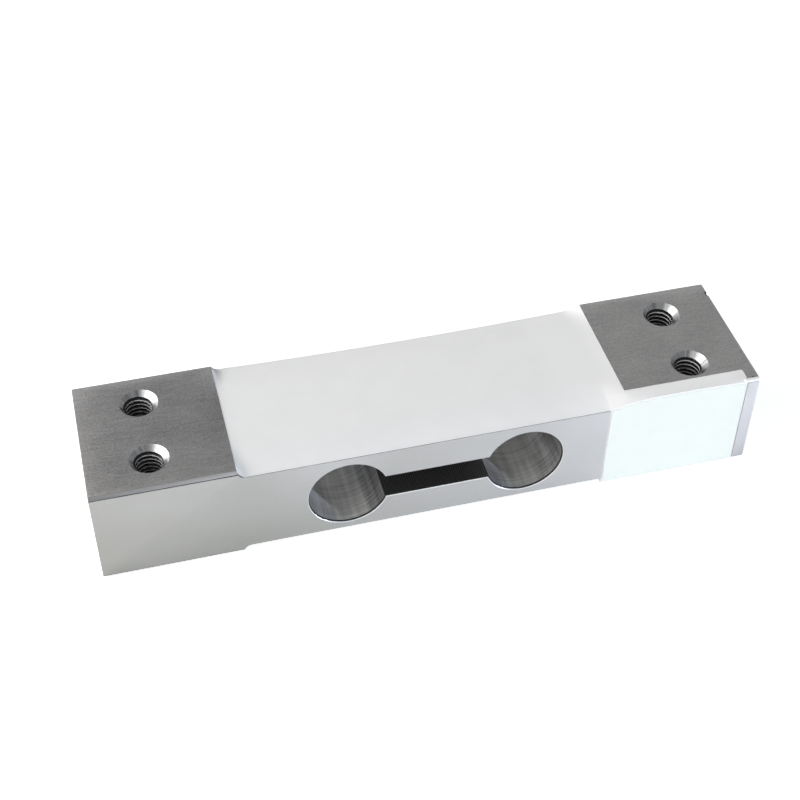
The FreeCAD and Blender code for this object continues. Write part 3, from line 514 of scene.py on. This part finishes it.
def leave_edit():
    """Back to object mode."""
    bpy.ops.object.mode_set(mode="OBJECT")


def bevel_selected(width, segments):
    """Bevel the selected edges and leave edit mode."""
    bpy.ops.mesh.bevel(offset=width, segments=segments, affect="EDGES")
    leave_edit()


def combine_with(piece, tool, operation="DIFFERENCE"):
    """Cut a tool away from a piece, or join it. The faces that the tool leaves keep the tool's finish."""
    fresh_start()
    bpy.context.view_layer.objects.active = piece
    piece.select_set(True)
    modifier = piece.modifiers.new("cut", "BOOLEAN")
    modifier.object = tool
    modifier.operation = operation
    modifier.solver = "EXACT"
    modifier.material_mode = "TRANSFER"
    bpy.ops.object.modifier_apply(modifier=modifier.name)
    bpy.data.objects.remove(tool)


def near(value, target, within=0.02 * MM):
    """Whether two lengths agree to within a tolerance."""
    return abs(value - target) < within


def smooth_by_angle(piece, angle=30.0):
    """Smooth shading, apart from edges sharper than the angle in degrees."""
    fresh_start()
    bpy.context.view_layer.objects.active = piece
    piece.select_set(True)
    bpy.ops.object.shade_smooth_by_angle(angle=math.radians(angle))


def give_finish(piece, finish, test):
    """Give a finish to the faces that pass the test."""
    piece.data.materials.append(finish)
    for face in piece.data.polygons:
        if test(face):
            face.material_index = len(piece.data.materials) - 1


def cut_sheet(axis, places):
    """In edit mode, cut the whole mesh across an axis at several places."""
    normal = Vector((axis == "X", axis == "Y", 0))
    for place in places:
        bpy.ops.mesh.select_all(action="SELECT")
        bpy.ops.mesh.bisect(plane_co=normal * place, plane_no=normal)


beam_low, beam_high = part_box("beam")
relief_low, relief_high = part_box("top_potting")
pocket_low, pocket_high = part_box("side_potting")
label_low, label_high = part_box("name_label")
pocket_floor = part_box("compensation_board")[1].y
relief_floor = relief_low.z
relief_end = relief_high.x
relief_depth = beam_high.z - relief_floor
mid_height = beam_high.z / 2
BORE_RADIUS = 7.58 * MM
SLOT_HEIGHT = 5.6 * MM
LONG_CHAMFER = 0.6 * MM
CHAMFER_BLEND = 0.12 * MM
END_BREAKS = {-1: 0.08 * MM, 1: 0.22 * MM}
BURR_BREAK = 0.14 * MM
BORE_SHIFT = Vector((0.12, 0, -0.13)) * MM
# depth below the face, radius there
MOUTH_STEPS = [
    (0.40 * MM, BORE_RADIUS),
    (0.07 * MM, BORE_RADIUS + 0.2 * MM),
    (-0.1 * MM, BORE_RADIUS + 0.45 * MM),
]
BACK_STEP_WIDTH = 2.0 * MM
BACK_STEP_DEPTH = 0.6 * MM
BACK_STEP_END = 34.0 * MM
TOUCH = 0.001 * MM
RELIEF_RADIUS = 1.5 * MM
CUT_PAST = 2.0 * MM
beam = add_block("beam_body", beam_low, beam_high, milled_side)
for width in (LONG_CHAMFER, CHAMFER_BLEND):
    select_parts(beam, "edges", lambda co: True)
    keep_edges(beam, lambda first, second: abs(first.x - second.x) > CUT_PAST)
    bevel_selected(width, 1)
for end in (-1, 1):
    select_parts(beam, "edges", lambda co: near(co.x, end * beam_high.x))
    bevel_selected(END_BREAKS[end], 2)


def relief_block(name, level, away, material=None):
    """Space of one relief: a block with rounded ends at its floor."""
    outer = level + away * (relief_depth + CUT_PAST)
    low = (-relief_end, beam_low.y - CUT_PAST, min(level, outer))
    high = (relief_end, beam_high.y + CUT_PAST, max(level, outer))
    block = add_block(name, low, high, material)
    select_parts(block, "edges", lambda co: near(co.z, level) and near(abs(co.x), relief_end))
    keep_edges(block, lambda first, second: near(first.x, second.x))
    bevel_selected(RELIEF_RADIUS, 8)
    return block


combine_with(beam, relief_block("top_cutter", relief_floor, 1, milled_floor))
combine_with(beam, relief_block("bottom_cutter", relief_depth, -1, milled_floor))
back_step = add_block(
    "back_step",
    (-BACK_STEP_END, beam_high.y - BACK_STEP_WIDTH, relief_floor - BACK_STEP_DEPTH),
    (BACK_STEP_END, beam_high.y + CUT_PAST, beam_high.z),
    milled_floor,
)
combine_with(beam, back_step)
through = beam_high.y - beam_low.y + 2 * CUT_PAST
slot_cutter = add_block(
    "slot_cutter",
    (-BORE_X, beam_low.y - CUT_PAST, mid_height - SLOT_HEIGHT / 2),
    (BORE_X, beam_high.y + CUT_PAST, mid_height + SLOT_HEIGHT / 2),
    slot_wall,
)
combine_with(beam, slot_cutter)


def on_slot_mouth(co):
    """On a long edge of the slot, at the front or the back face."""
    return near(abs(co.y), beam_high.y) and near(abs(co.z - mid_height), SLOT_HEIGHT / 2)


select_parts(beam, "edges", on_slot_mouth)
bevel_selected(BURR_BREAK, 1)


def add_bore_cutter(centre):
    """Round bar that opens at both faces in a dark lip and then in a burr painted bright as a highlight."""
    cutter = add_round("bore_cutter", centre, BORE_RADIUS, through, "Y", bored_wall)
    bpy.ops.object.mode_set(mode="EDIT")
    levels = [beam_high.y - depth for depth, _ in MOUTH_STEPS]
    cut_sheet("Y", levels + [-level for level in levels])
    leave_edit()
    last_radius = BORE_RADIUS
    for level, (_, radius) in zip(levels[1:], MOUTH_STEPS[1:]):
        select_parts(cutter, "verts", lambda co: abs(co.y) > level - TOUCH)
        scale = radius / last_radius
        bpy.ops.transform.resize(value=(scale, 1, scale), center_override=centre)
        leave_edit()
        last_radius = radius
    give_finish(cutter, dark_lip, lambda face: levels[0] < abs(face.center.y) < levels[1])
    give_finish(cutter, edge_painted_highlight, lambda face: levels[1] < abs(face.center.y) < levels[2])
    return cutter


for side in (-1, 1):
    combine_with(beam, add_bore_cutter(Vector((side * BORE_X, 0, mid_height)) + BORE_SHIFT))

POCKET_CORNER = 0.5 * MM
pocket_cutter = add_block(
    "pocket_cutter",
    (pocket_low.x, beam_low.y - CUT_PAST, beam_low.z - CUT_PAST),
    (pocket_high.x, pocket_floor, beam_high.z + CUT_PAST),
    milled_floor,
)
select_parts(pocket_cutter, "edges", lambda co: near(co.x, pocket_high.x) and near(co.y, pocket_floor))
bevel_selected(POCKET_CORNER, 6)
combine_with(beam, pocket_cutter)

seal_low, seal_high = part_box("cable_seal")
CABLE_HOLE_RADIUS = 2.5 * MM
CABLE_HOLE_DEPTH = 8.0 * MM
cable_y = (seal_low.y + seal_high.y) / 2
cable_middle = beam_high.x - CABLE_HOLE_DEPTH / 2 + CUT_PAST / 2
cable_length = CABLE_HOLE_DEPTH + CUT_PAST
cable_place = (cable_middle, cable_y, mid_height)
cable_cutter = add_round("cable_cutter", cable_place, CABLE_HOLE_RADIUS, cable_length, "X", bored_wall)
combine_with(beam, cable_cutter)

# Tapped holes: the core is drilled through, countersunk from both sides and tapped M6. One tap with its
# real helix and two cones are shaped once and copied to the four holes.
THREAD_PITCH = 1.0 * MM
THREAD_CORE = 2.5 * MM
THREAD_OUTER = 3.0 * MM
THREAD_FLANK_ANGLE = 30.0
THREAD_FLANK = (THREAD_OUTER - THREAD_CORE) * math.tan(math.radians(THREAD_FLANK_ANGLE))
THREAD_CREST = 0.30 * MM
THREAD_STEPS = 56
THREAD_START = -2 * THREAD_PITCH
THREAD_SPARE_TURNS = 4
CREST_REACH = THREAD_CORE + 0.05 * MM
SINK_MOUTH = 3.7 * MM
SINK_DEPTH = SINK_MOUTH - THREAD_CORE
SINK_SHIFTS = {-1: Vector((0.03, 0.10, 0)) * MM, 1: Vector((0.24, 0.02, 0)) * MM}
TAP_SHIFTS = {-1: Vector((-0.15, 0, 0)) * MM, 1: Vector((0, 0, 0))}
SINK_PAST = 0.5 * MM
SINK_INTO = 0.3 * MM
SINK_SIDES = 96
hole_places = [(side_x * HOLE_X, side_y * HOLE_Y) for side_x in (-1, 1) for side_y in (-1, 1)]


def add_tap():
    """Threaded bar of the tap, on the origin's axis."""
    fresh_start()
    bpy.ops.mesh.primitive_plane_add(size=MM, location=(THREAD_CORE, 0, THREAD_START))
    tap = settle("tap", thread_painted_shade)
    select_parts(tap, "verts", lambda co: True)
    bpy.ops.mesh.merge(type="CENTER")
    depth = THREAD_OUTER - THREAD_CORE
    root = THREAD_PITCH - THREAD_CREST - 2 * THREAD_FLANK
    for step in ((0, 0, THREAD_CREST), (depth, 0, THREAD_FLANK), (0, 0, root), (-depth, 0, THREAD_FLANK)):
        bpy.ops.mesh.extrude_region_move(TRANSFORM_OT_translate={"value": step})
    leave_edit()
    helix = tap.modifiers.new("helix", "SCREW")
    helix.axis = "Z"
    helix.screw_offset = THREAD_PITCH
    helix.iterations = math.ceil(beam_high.z / THREAD_PITCH) + THREAD_SPARE_TURNS
    helix.steps = THREAD_STEPS
    helix.render_steps = THREAD_STEPS
    helix.use_merge_vertices = True
    helix.merge_threshold = TOUCH
    bpy.ops.object.modifier_apply(modifier=helix.name)
    bpy.ops.object.mode_set(mode="EDIT")
    bpy.ops.mesh.select_all(action="SELECT")
    bpy.ops.mesh.remove_doubles(threshold=TOUCH)
    bpy.ops.mesh.fill_holes(sides=0)
    bpy.ops.mesh.select_all(action="SELECT")
    bpy.ops.mesh.normals_make_consistent(inside=False)
    leave_edit()
    # The crest faces get the painted highlight.
    give_finish(tap, crest_painted_highlight, lambda face: math.hypot(face.center.x, face.center.y) < CREST_REACH)
    return tap


def add_sinks():
    """The two countersink cones of one hole, on the origin's axis."""
    cones = []
    for level, away in ((beam_low.z, -1), (beam_high.z, 1)):
        fresh_start()
        inner = level - away * (SINK_DEPTH + SINK_INTO)
        outer = level + away * SINK_PAST
        narrow = THREAD_CORE - SINK_INTO
        wide = SINK_MOUTH + SINK_PAST
        lower_radius, upper_radius = (narrow, wide) if away > 0 else (wide, narrow)
        bpy.ops.mesh.primitive_cone_add(
            vertices=SINK_SIDES,
            radius1=lower_radius,
            radius2=upper_radius,
            depth=abs(outer - inner),
            location=(0, 0, (inner + outer) / 2),
        )
        cones.append(settle("sink", countersink_cut))
    fresh_start()
    for cone in cones:
        cone.select_set(True)
    bpy.context.view_layer.objects.active = cones[0]
    bpy.ops.object.join()
    return cones[0]


def copies_at_holes(piece, shifts):
    """One mesh with a copy of the piece at each hole, off its axis as the shift for that end says."""
    copies = []
    for place_x, place_y in hole_places:
        copy = piece.copy()
        copy.data = piece.data.copy()
        bpy.context.collection.objects.link(copy)
        end = int(math.copysign(1, place_x))
        copy.data.transform(Matrix.Translation(Vector((place_x, place_y, 0)) + shifts[end]))
        copies.append(copy)
    bpy.data.objects.remove(piece)
    fresh_start()
    for copy in copies:
        copy.select_set(True)
    bpy.context.view_layer.objects.active = copies[0]
    bpy.ops.object.join()
    return copies[0]


combine_with(beam, copies_at_holes(add_sinks(), SINK_SHIFTS))
combine_with(beam, copies_at_holes(add_tap(), TAP_SHIFTS))


def on_pad(face):
    """On one of the four mounting faces, or on the break at its end."""
    at_level = abs(face.center.z - mid_height) > mid_height - END_BREAKS[-1]
    level = abs(face.normal.z) > 0.3 and abs(face.normal.y) < 0.1
    return at_level and level and abs(face.center.x) > relief_end


def on_right_break(face):
    """On the break between the right pad and its end face."""
    at_edge = face.center.x > beam_high.x - END_BREAKS[1] and face.center.z > mid_height
    return at_edge and 0.2 < face.normal.z < 0.98


def on_chamfer(face):
    """On the slope of a long edge."""
    slope = abs(face.normal.y) > 0.2 and abs(face.normal.z) > 0.2 and abs(face.normal.x) < 0.1
    at_edge = abs(face.center.y) > beam_high.y - LONG_CHAMFER - CHAMFER_BLEND
    at_face = abs(face.center.z - mid_height) > mid_height - LONG_CHAMFER - CHAMFER_BLEND
    return slope and at_edge and at_face


def on_chamfer_foot(face):
    """On the corner between a chamfer and a side face."""
    return on_chamfer(face) and abs(face.normal.y) > 0.85


def on_slot_break(face):
    """On the break along the slot's mouth."""
    at_mouth = beam_high.y - BURR_BREAK < abs(face.center.y) < beam_high.y
    in_slot = abs(face.center.z - mid_height) < SLOT_HEIGHT / 2 + BURR_BREAK and abs(face.center.x) < BORE_X
    return at_mouth and in_slot and 0.5 < abs(face.normal.y) < 0.9


NICK_Y = 11.3 * MM
NICK_LENGTH = 1.2 * MM
NICK_DEPTH = 0.6 * MM
nick = add_block(
    "nick",
    (beam_high.x - NICK_DEPTH, NICK_Y - NICK_LENGTH / 2, beam_high.z - NICK_DEPTH),
    (beam_high.x + NICK_DEPTH, NICK_Y + NICK_LENGTH / 2, beam_high.z + NICK_DEPTH),
    dark_lip,
)
combine_with(beam, nick)
give_finish(beam, ground_pad, on_pad)
give_finish(beam, filed_chamfer, on_chamfer)
give_finish(beam, edge_line, on_chamfer_foot)
# The breaks at the slot's mouth and at the right pad's end get the painted highlight.
give_finish(beam, edge_painted_highlight, lambda face: on_slot_break(face) or on_right_break(face))
smooth_by_angle(beam, 25.0)
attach(beam, "root")
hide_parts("beam")

# Poured silicone: one pour fills the relief over the gauges and the side pocket over the board. It
# climbs to both pads, thins out along the long edges, sags over the step at the back and runs as a
# strip along the right pad. Painted shade makes it a little darker at the front, and painted light makes it
# brighter towards the right pad.
silicone = new_finish("white_silicone", (0.88, 0.88, 0.87), 0.42, specular=0.35)
silicone_mottle = noise_of(silicone, 5.0, detail=3.0)
silicone_grain = noise_of(silicone, 0.5, detail=2.0)
# Painted shade at the front, and painted light towards the right pad.
silicone_front_painted_shade = along_axis(silicone, "Y", -14.8 * MM, -6.0 * MM)
silicone_right_painted_light = along_axis(silicone, "X", 24.0 * MM, 36.0 * MM)
silicone_mottle_and_painted_light = sum_of(silicone, (silicone_mottle, 0.3), (silicone_front_painted_shade, 0.5), (silicone_right_painted_light, 0.5))
colour_by(silicone, silicone_mottle_and_painted_light, (0.775, 0.773, 0.768), (0.905, 0.901, 0.894), 0.0, 0.8)
roughness_by(silicone, silicone_mottle, 0.38, 0.48)
bump_by(silicone, sum_of(silicone, (silicone_mottle, 0.8), (silicone_grain, 0.2)), 0.05, 0.3)
spot_on(silicone, (34.4, 10.9, 21.9), 0.45, (0.42, 0.42, 0.42))

POUR_FRONT = relief_low.y + 0.1 * MM
FACE_CLEARANCE = 0.004 * MM
POUR_BACK = relief_high.y - FACE_CLEARANCE
BACK_SAG = 0.55 * MM
POUR_EDGE_WIDTH = 8.0 * MM
STRIP_EDGE_WIDTH = 3.0 * MM
PAD_LEVEL = relief_high.z
CROWN_LEVEL = PAD_LEVEL - 0.12 * MM
EDGE_LEVEL = relief_floor + 0.05 * MM
LEFT_RUN = 2.0 * MM
RIGHT_RUN = 3.8 * MM
LEFT_FADE = 1.6 * MM
STRIP_RISE = 10.8 * MM
STRIP_SAG_RUN = 13.0 * MM
STRIP_SAG = 0.4 * MM


def dip(distance, run, drop):
    """Arc that falls by the drop over the last run before an edge, at a distance from that edge."""
    if distance >= run or drop <= 0:
        return 0.0
    radius = (run * run + drop * drop) / (2 * drop)
    reach = run - max(distance, 0.0)
    return radius - math.sqrt(radius * radius - reach * reach)


def strip_edge_level(x):
    """Level of the pocket's silicone at the front: a rounded rise at the left, a slight sag at the right."""
    rise_left = dip(x - pocket_low.x, STRIP_RISE, PAD_LEVEL - EDGE_LEVEL)
    return PAD_LEVEL - rise_left - dip(pocket_high.x - x, STRIP_SAG_RUN, STRIP_SAG)


def climb_to(distance, run):
    """Share of a meniscus: 1 at the wall, falling to 0 over the run before it."""
    return max(0.0, 1 - max(distance, 0.0) / run) ** 2


def pour_level(x, y, back_sag):
    """Level of the poured surface: a crown almost flush with the pads that falls to the long edges."""
    right = climb_to(relief_end - x, RIGHT_RUN)
    inner = CROWN_LEVEL + (PAD_LEVEL - CROWN_LEVEL) * right
    sag = back_sag * max(0.0, 1 - (x / BACK_STEP_END) ** 2)
    back_level = EDGE_LEVEL - sag + (PAD_LEVEL - EDGE_LEVEL) * right
    front, front_level, width = POUR_FRONT, EDGE_LEVEL, POUR_EDGE_WIDTH
    if x > pocket_low.x:
        to_strip = min(1.0, (x - pocket_low.x) / (relief_end - pocket_low.x))
        front, front_level = pocket_low.y, strip_edge_level(x)
        width += (STRIP_EDGE_WIDTH - POUR_EDGE_WIDTH) * to_strip
    from_front = inner - dip(y - front, width, inner - front_level)
    from_back = inner - dip(POUR_BACK - y, POUR_EDGE_WIDTH, inner - back_level)
    level = min(from_front, from_back)
    fade = min(1.0, max(0.0, min(y - front, POUR_BACK - y)) / LEFT_FADE)
    return level + (PAD_LEVEL - level) * climb_to(x + relief_end, LEFT_RUN) * fade * (2 - fade)


def steps_between(low, high, step):
    """Evenly spaced places inside a span, about a step apart."""
    count = max(1, round((high - low) / step))
    return [low + (high - low) * number / count for number in range(1, count)]


def drop_faces(piece, test):
    """Delete the faces whose every corner passes the test."""
    select_parts(piece, "faces", test)
    bpy.ops.mesh.delete(type="FACE")
    leave_edit()


FINE = 0.25 * MM
COARSE = 1.5 * MM


def over_pocket(co):
    """Over the side pocket."""
    return co.x > pocket_low.x - TOUCH and co.y < pocket_floor + TOUCH


def add_pour(name, fills_pocket, back_sag):
    """Silicone in the upper relief, as a closed piece, with or without the part over the side pocket."""
    fresh_start()
    width = POUR_BACK - pocket_low.y
    sheet_place = ((pocket_high.x - relief_end) / 2, POUR_BACK - width / 2, relief_floor)
    bpy.ops.mesh.primitive_plane_add(size=1, location=sheet_place)
    bpy.context.object.scale = (pocket_high.x + relief_end, width, 1)
    sheet = settle(name, silicone)
    bpy.ops.object.mode_set(mode="EDIT")
    cut_sheet("X", [pocket_low.x, relief_end])
    cut_sheet("Y", [POUR_FRONT, pocket_floor])
    leave_edit()
    drop_faces(sheet, lambda co: co.x > relief_end - TOUCH and co.y > pocket_floor - TOUCH)
    drop_faces(sheet, lambda co: co.x < pocket_low.x + TOUCH and co.y < POUR_FRONT + TOUCH)
    if not fills_pocket:
        drop_faces(sheet, over_pocket)
    bpy.ops.object.mode_set(mode="EDIT")
    left_fine = -relief_end + LEFT_RUN
    cut_sheet("X", steps_between(-relief_end, left_fine, FINE) + [left_fine])
    cut_sheet("X", steps_between(left_fine, pocket_low.x, COARSE))
    cut_sheet("X", steps_between(pocket_low.x, relief_end, FINE))
    cut_sheet("X", steps_between(relief_end, pocket_high.x, COARSE / 2))
    cut_sheet("Y", steps_between(POUR_FRONT, pocket_floor, FINE))
    cut_sheet("Y", steps_between(pocket_floor, -pocket_floor, COARSE) + [-pocket_floor])
    cut_sheet("Y", steps_between(-pocket_floor, POUR_BACK, FINE))
    bpy.ops.mesh.select_all(action="SELECT")
    bpy.ops.mesh.extrude_region_move(TRANSFORM_OT_translate={"value": (0, 0, relief_depth)})
    leave_edit()
    for vertex in sheet.data.vertices:
        if vertex.co.z > relief_floor + TOUCH:
            vertex.co.z = pour_level(vertex.co.x, vertex.co.y, back_sag)
        elif back_sag and vertex.co.y > beam_high.y - BACK_STEP_WIDTH and abs(vertex.co.x) < BACK_STEP_END:
            vertex.co.z = relief_floor - BACK_STEP_DEPTH
    return sheet


def relief_end_wedge(side):
    """Metal left by the cutter's radius at one end of the relief."""
    outer = side * (relief_end + RELIEF_RADIUS / 2)
    inner = side * (relief_end - RELIEF_RADIUS)
    wedge = add_block(
        "wedge",
        (min(outer, inner), -through / 2, relief_floor - RELIEF_RADIUS / 2),
        (max(outer, inner), through / 2, relief_floor + RELIEF_RADIUS),
        silicone,
    )
    round_middle = (inner, 0, relief_floor + RELIEF_RADIUS)
    combine_with(wedge, add_round("round_end", round_middle, RELIEF_RADIUS, 2 * through, "Y"))
    return wedge


def face_outwards(piece):
    """Recalculate the normals of a closed piece."""
    select_parts(piece, "faces", lambda co: True)
    bpy.ops.mesh.normals_make_consistent(inside=False)
    leave_edit()


pour = add_pour("poured_silicone", True, BACK_SAG)
select_parts(pour, "faces", lambda co: near(co.z, relief_floor) and over_pocket(co))
bpy.ops.mesh.extrude_region_move(TRANSFORM_OT_translate={"value": (0, 0, pocket_low.z - relief_floor)})
leave_edit()
face_outwards(pour)
combine_with(pour, relief_end_wedge(-1))
SMEAR_WIDTH = 0.62 * MM
SMEAR_END = 0.15 * MM
smear = add_block(
    "smear",
    (pocket_high.x - SMEAR_WIDTH, beam_low.y + FACE_CLEARANCE, beam_high.z - SMEAR_WIDTH),
    (beam_high.x - SMEAR_END, beam_low.y + SMEAR_WIDTH, beam_high.z - FACE_CLEARANCE),
    silicone,
)
combine_with(pour, smear, "UNION")
smooth_by_angle(pour, 40.0)
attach(pour, "root")
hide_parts("top_potting", "side_potting")

# Bottom silicone: the same pour over the lower gauges, made with the beam turned over. It is hidden once
# the cell is bolted down.
under_pour = add_pour("bottom_silicone", False, 0.0)
face_outwards(under_pour)
combine_with(under_pour, relief_end_wedge(-1))
combine_with(under_pour, relief_end_wedge(1))
select_parts(under_pour, "verts", lambda co: True)
bpy.ops.transform.resize(value=(1, 1, -1), center_override=(0, 0, mid_height))
leave_edit()
face_outwards(under_pour)
smooth_by_angle(under_pour, 40.0)
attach(under_pour, "root")
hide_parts("bottom_potting")

# Label: a blank matte film, cut to the silicone's outline and pressed flush into the front of the pocket.
label_film = new_finish("label_film", (0.82, 0.87, 0.83), 0.4, specular=0.4)
film_mottle = noise_of(label_film, 3.0, detail=2.0)
colour_by(label_film, film_mottle, (0.795, 0.837, 0.789), (0.805, 0.847, 0.799))
roughness_by(label_film, film_mottle, 0.36, 0.46)
LABEL_MARGIN = label_low.x - pocket_low.x
LABEL_CORNER = 0.5 * MM
label = add_block("blank_label", label_low, (label_high.x, label_high.y, label_low.z + COARSE), label_film)
bpy.ops.object.mode_set(mode="EDIT")
cut_sheet("X", steps_between(label_low.x, label_high.x, COARSE / 2))
leave_edit()
for vertex in label.data.vertices:
    if vertex.co.z > label_low.z + TOUCH:
        vertex.co.z = strip_edge_level(vertex.co.x) - LABEL_MARGIN
select_parts(label, "edges", lambda co: near(co.x, label_low.x) or near(co.x, label_high.x))
keep_edges(label, lambda first, second: near(first.x, second.x) and near(first.z, second.z))
bevel_selected(LABEL_CORNER, 4)
smooth_by_angle(label, 30.0)
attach(label, "root")
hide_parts("name_label")

# Cable seal: a moulded rubber bush in the end wall, with a lead-in at its bore.
black_rubber = new_finish("black_rubber", (0.03, 0.03, 0.03), 0.6, specular=0.4)
rubber_skin = noise_of(black_rubber, 0.3, detail=3.0)
colour_by(black_rubber, rubber_skin, (0.022, 0.022, 0.023), (0.04, 0.04, 0.04))
roughness_by(black_rubber, rubber_skin, 0.5, 0.7)
bump_by(black_rubber, rubber_skin, 0.02, 0.4)
SEAL_BORE = 1.9 * MM
SEAL_LEAD_IN = 0.3 * MM
SEAL_SIDES = 64
seal_radius = (seal_high.y - seal_low.y) / 2
seal_length = seal_high.x - seal_low.x
seal_middle = ((seal_low.x + seal_high.x) / 2, cable_y, mid_height)
seal = add_round("cable_bush", seal_middle, seal_radius, seal_length, "X", black_rubber, sides=SEAL_SIDES)
combine_with(seal, add_round("seal_bore", seal_middle, SEAL_BORE, through, "X", sides=SEAL_SIDES))


def on_seal_mouth(co):
    """On the rim of the seal's bore, at its outer face."""
    from_axis = math.hypot(co.y - cable_y, co.z - mid_height)
    return near(co.x, seal_high.x) and from_axis < SEAL_BORE + SEAL_LEAD_IN / 2


select_parts(seal, "edges", on_seal_mouth)
bevel_selected(SEAL_LEAD_IN / 2, 3)
smooth_by_angle(seal, 40.0)
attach(seal, "root")
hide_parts("cable_seal")

# Sealed pieces: gauges, terminal strips, leads, board, solder and resistors lie under the silicone. They
# keep the frame's own shapes and get the finish of the real ones.
polyimide = new_finish("polyimide_foil", (0.42, 0.20, 0.05), 0.35)
colour_by(polyimide, noise_of(polyimide, 0.6, (4.0, 1.0, 1.0)), (0.34, 0.15, 0.03), (0.50, 0.26, 0.08))
terminal_board = new_finish("terminal_board", (0.50, 0.38, 0.20), 0.5)
colour_by(terminal_board, noise_of(terminal_board, 0.4), (0.44, 0.32, 0.16), (0.56, 0.44, 0.25))
lead_enamel = new_finish("lead_enamel", (0.45, 0.14, 0.05), 0.3)
colour_by(lead_enamel, noise_of(lead_enamel, 0.5, (5.0, 1.0, 1.0)), (0.38, 0.10, 0.03), (0.52, 0.18, 0.07))
solder_mask = new_finish("solder_mask", (0.03, 0.20, 0.09), 0.35)
colour_by(solder_mask, noise_of(solder_mask, 0.8), (0.02, 0.16, 0.07), (0.04, 0.24, 0.11))
tin_solder = new_finish("tin_solder", (0.66, 0.66, 0.67), 0.3, metallic=1.0)
colour_by(tin_solder, noise_of(tin_solder, 0.3), (0.58, 0.58, 0.60), (0.74, 0.74, 0.75))
resistor_lacquer = new_finish("resistor_lacquer", (0.05, 0.05, 0.06), 0.3)
colour_by(resistor_lacquer, noise_of(resistor_lacquer, 0.4), (0.03, 0.03, 0.04), (0.07, 0.07, 0.08))
SEALED_FINISHES = {
    "gauge_foil": polyimide,
    "terminal_strip": terminal_board,
    "enamelled_lead": lead_enamel,
    "board_laminate": solder_mask,
    "solder": tin_solder,
    "resistor_body": resistor_lacquer,
}
for subpart in frame["record"]["subparts"]:
    if subpart["material_slot"] in SEALED_FINISHES:
        sealed = frame["nodes"][subpart["node"]]
        sealed.data.materials.clear()
        sealed.data.materials.append(SEALED_FINISHES[subpart["material_slot"]])
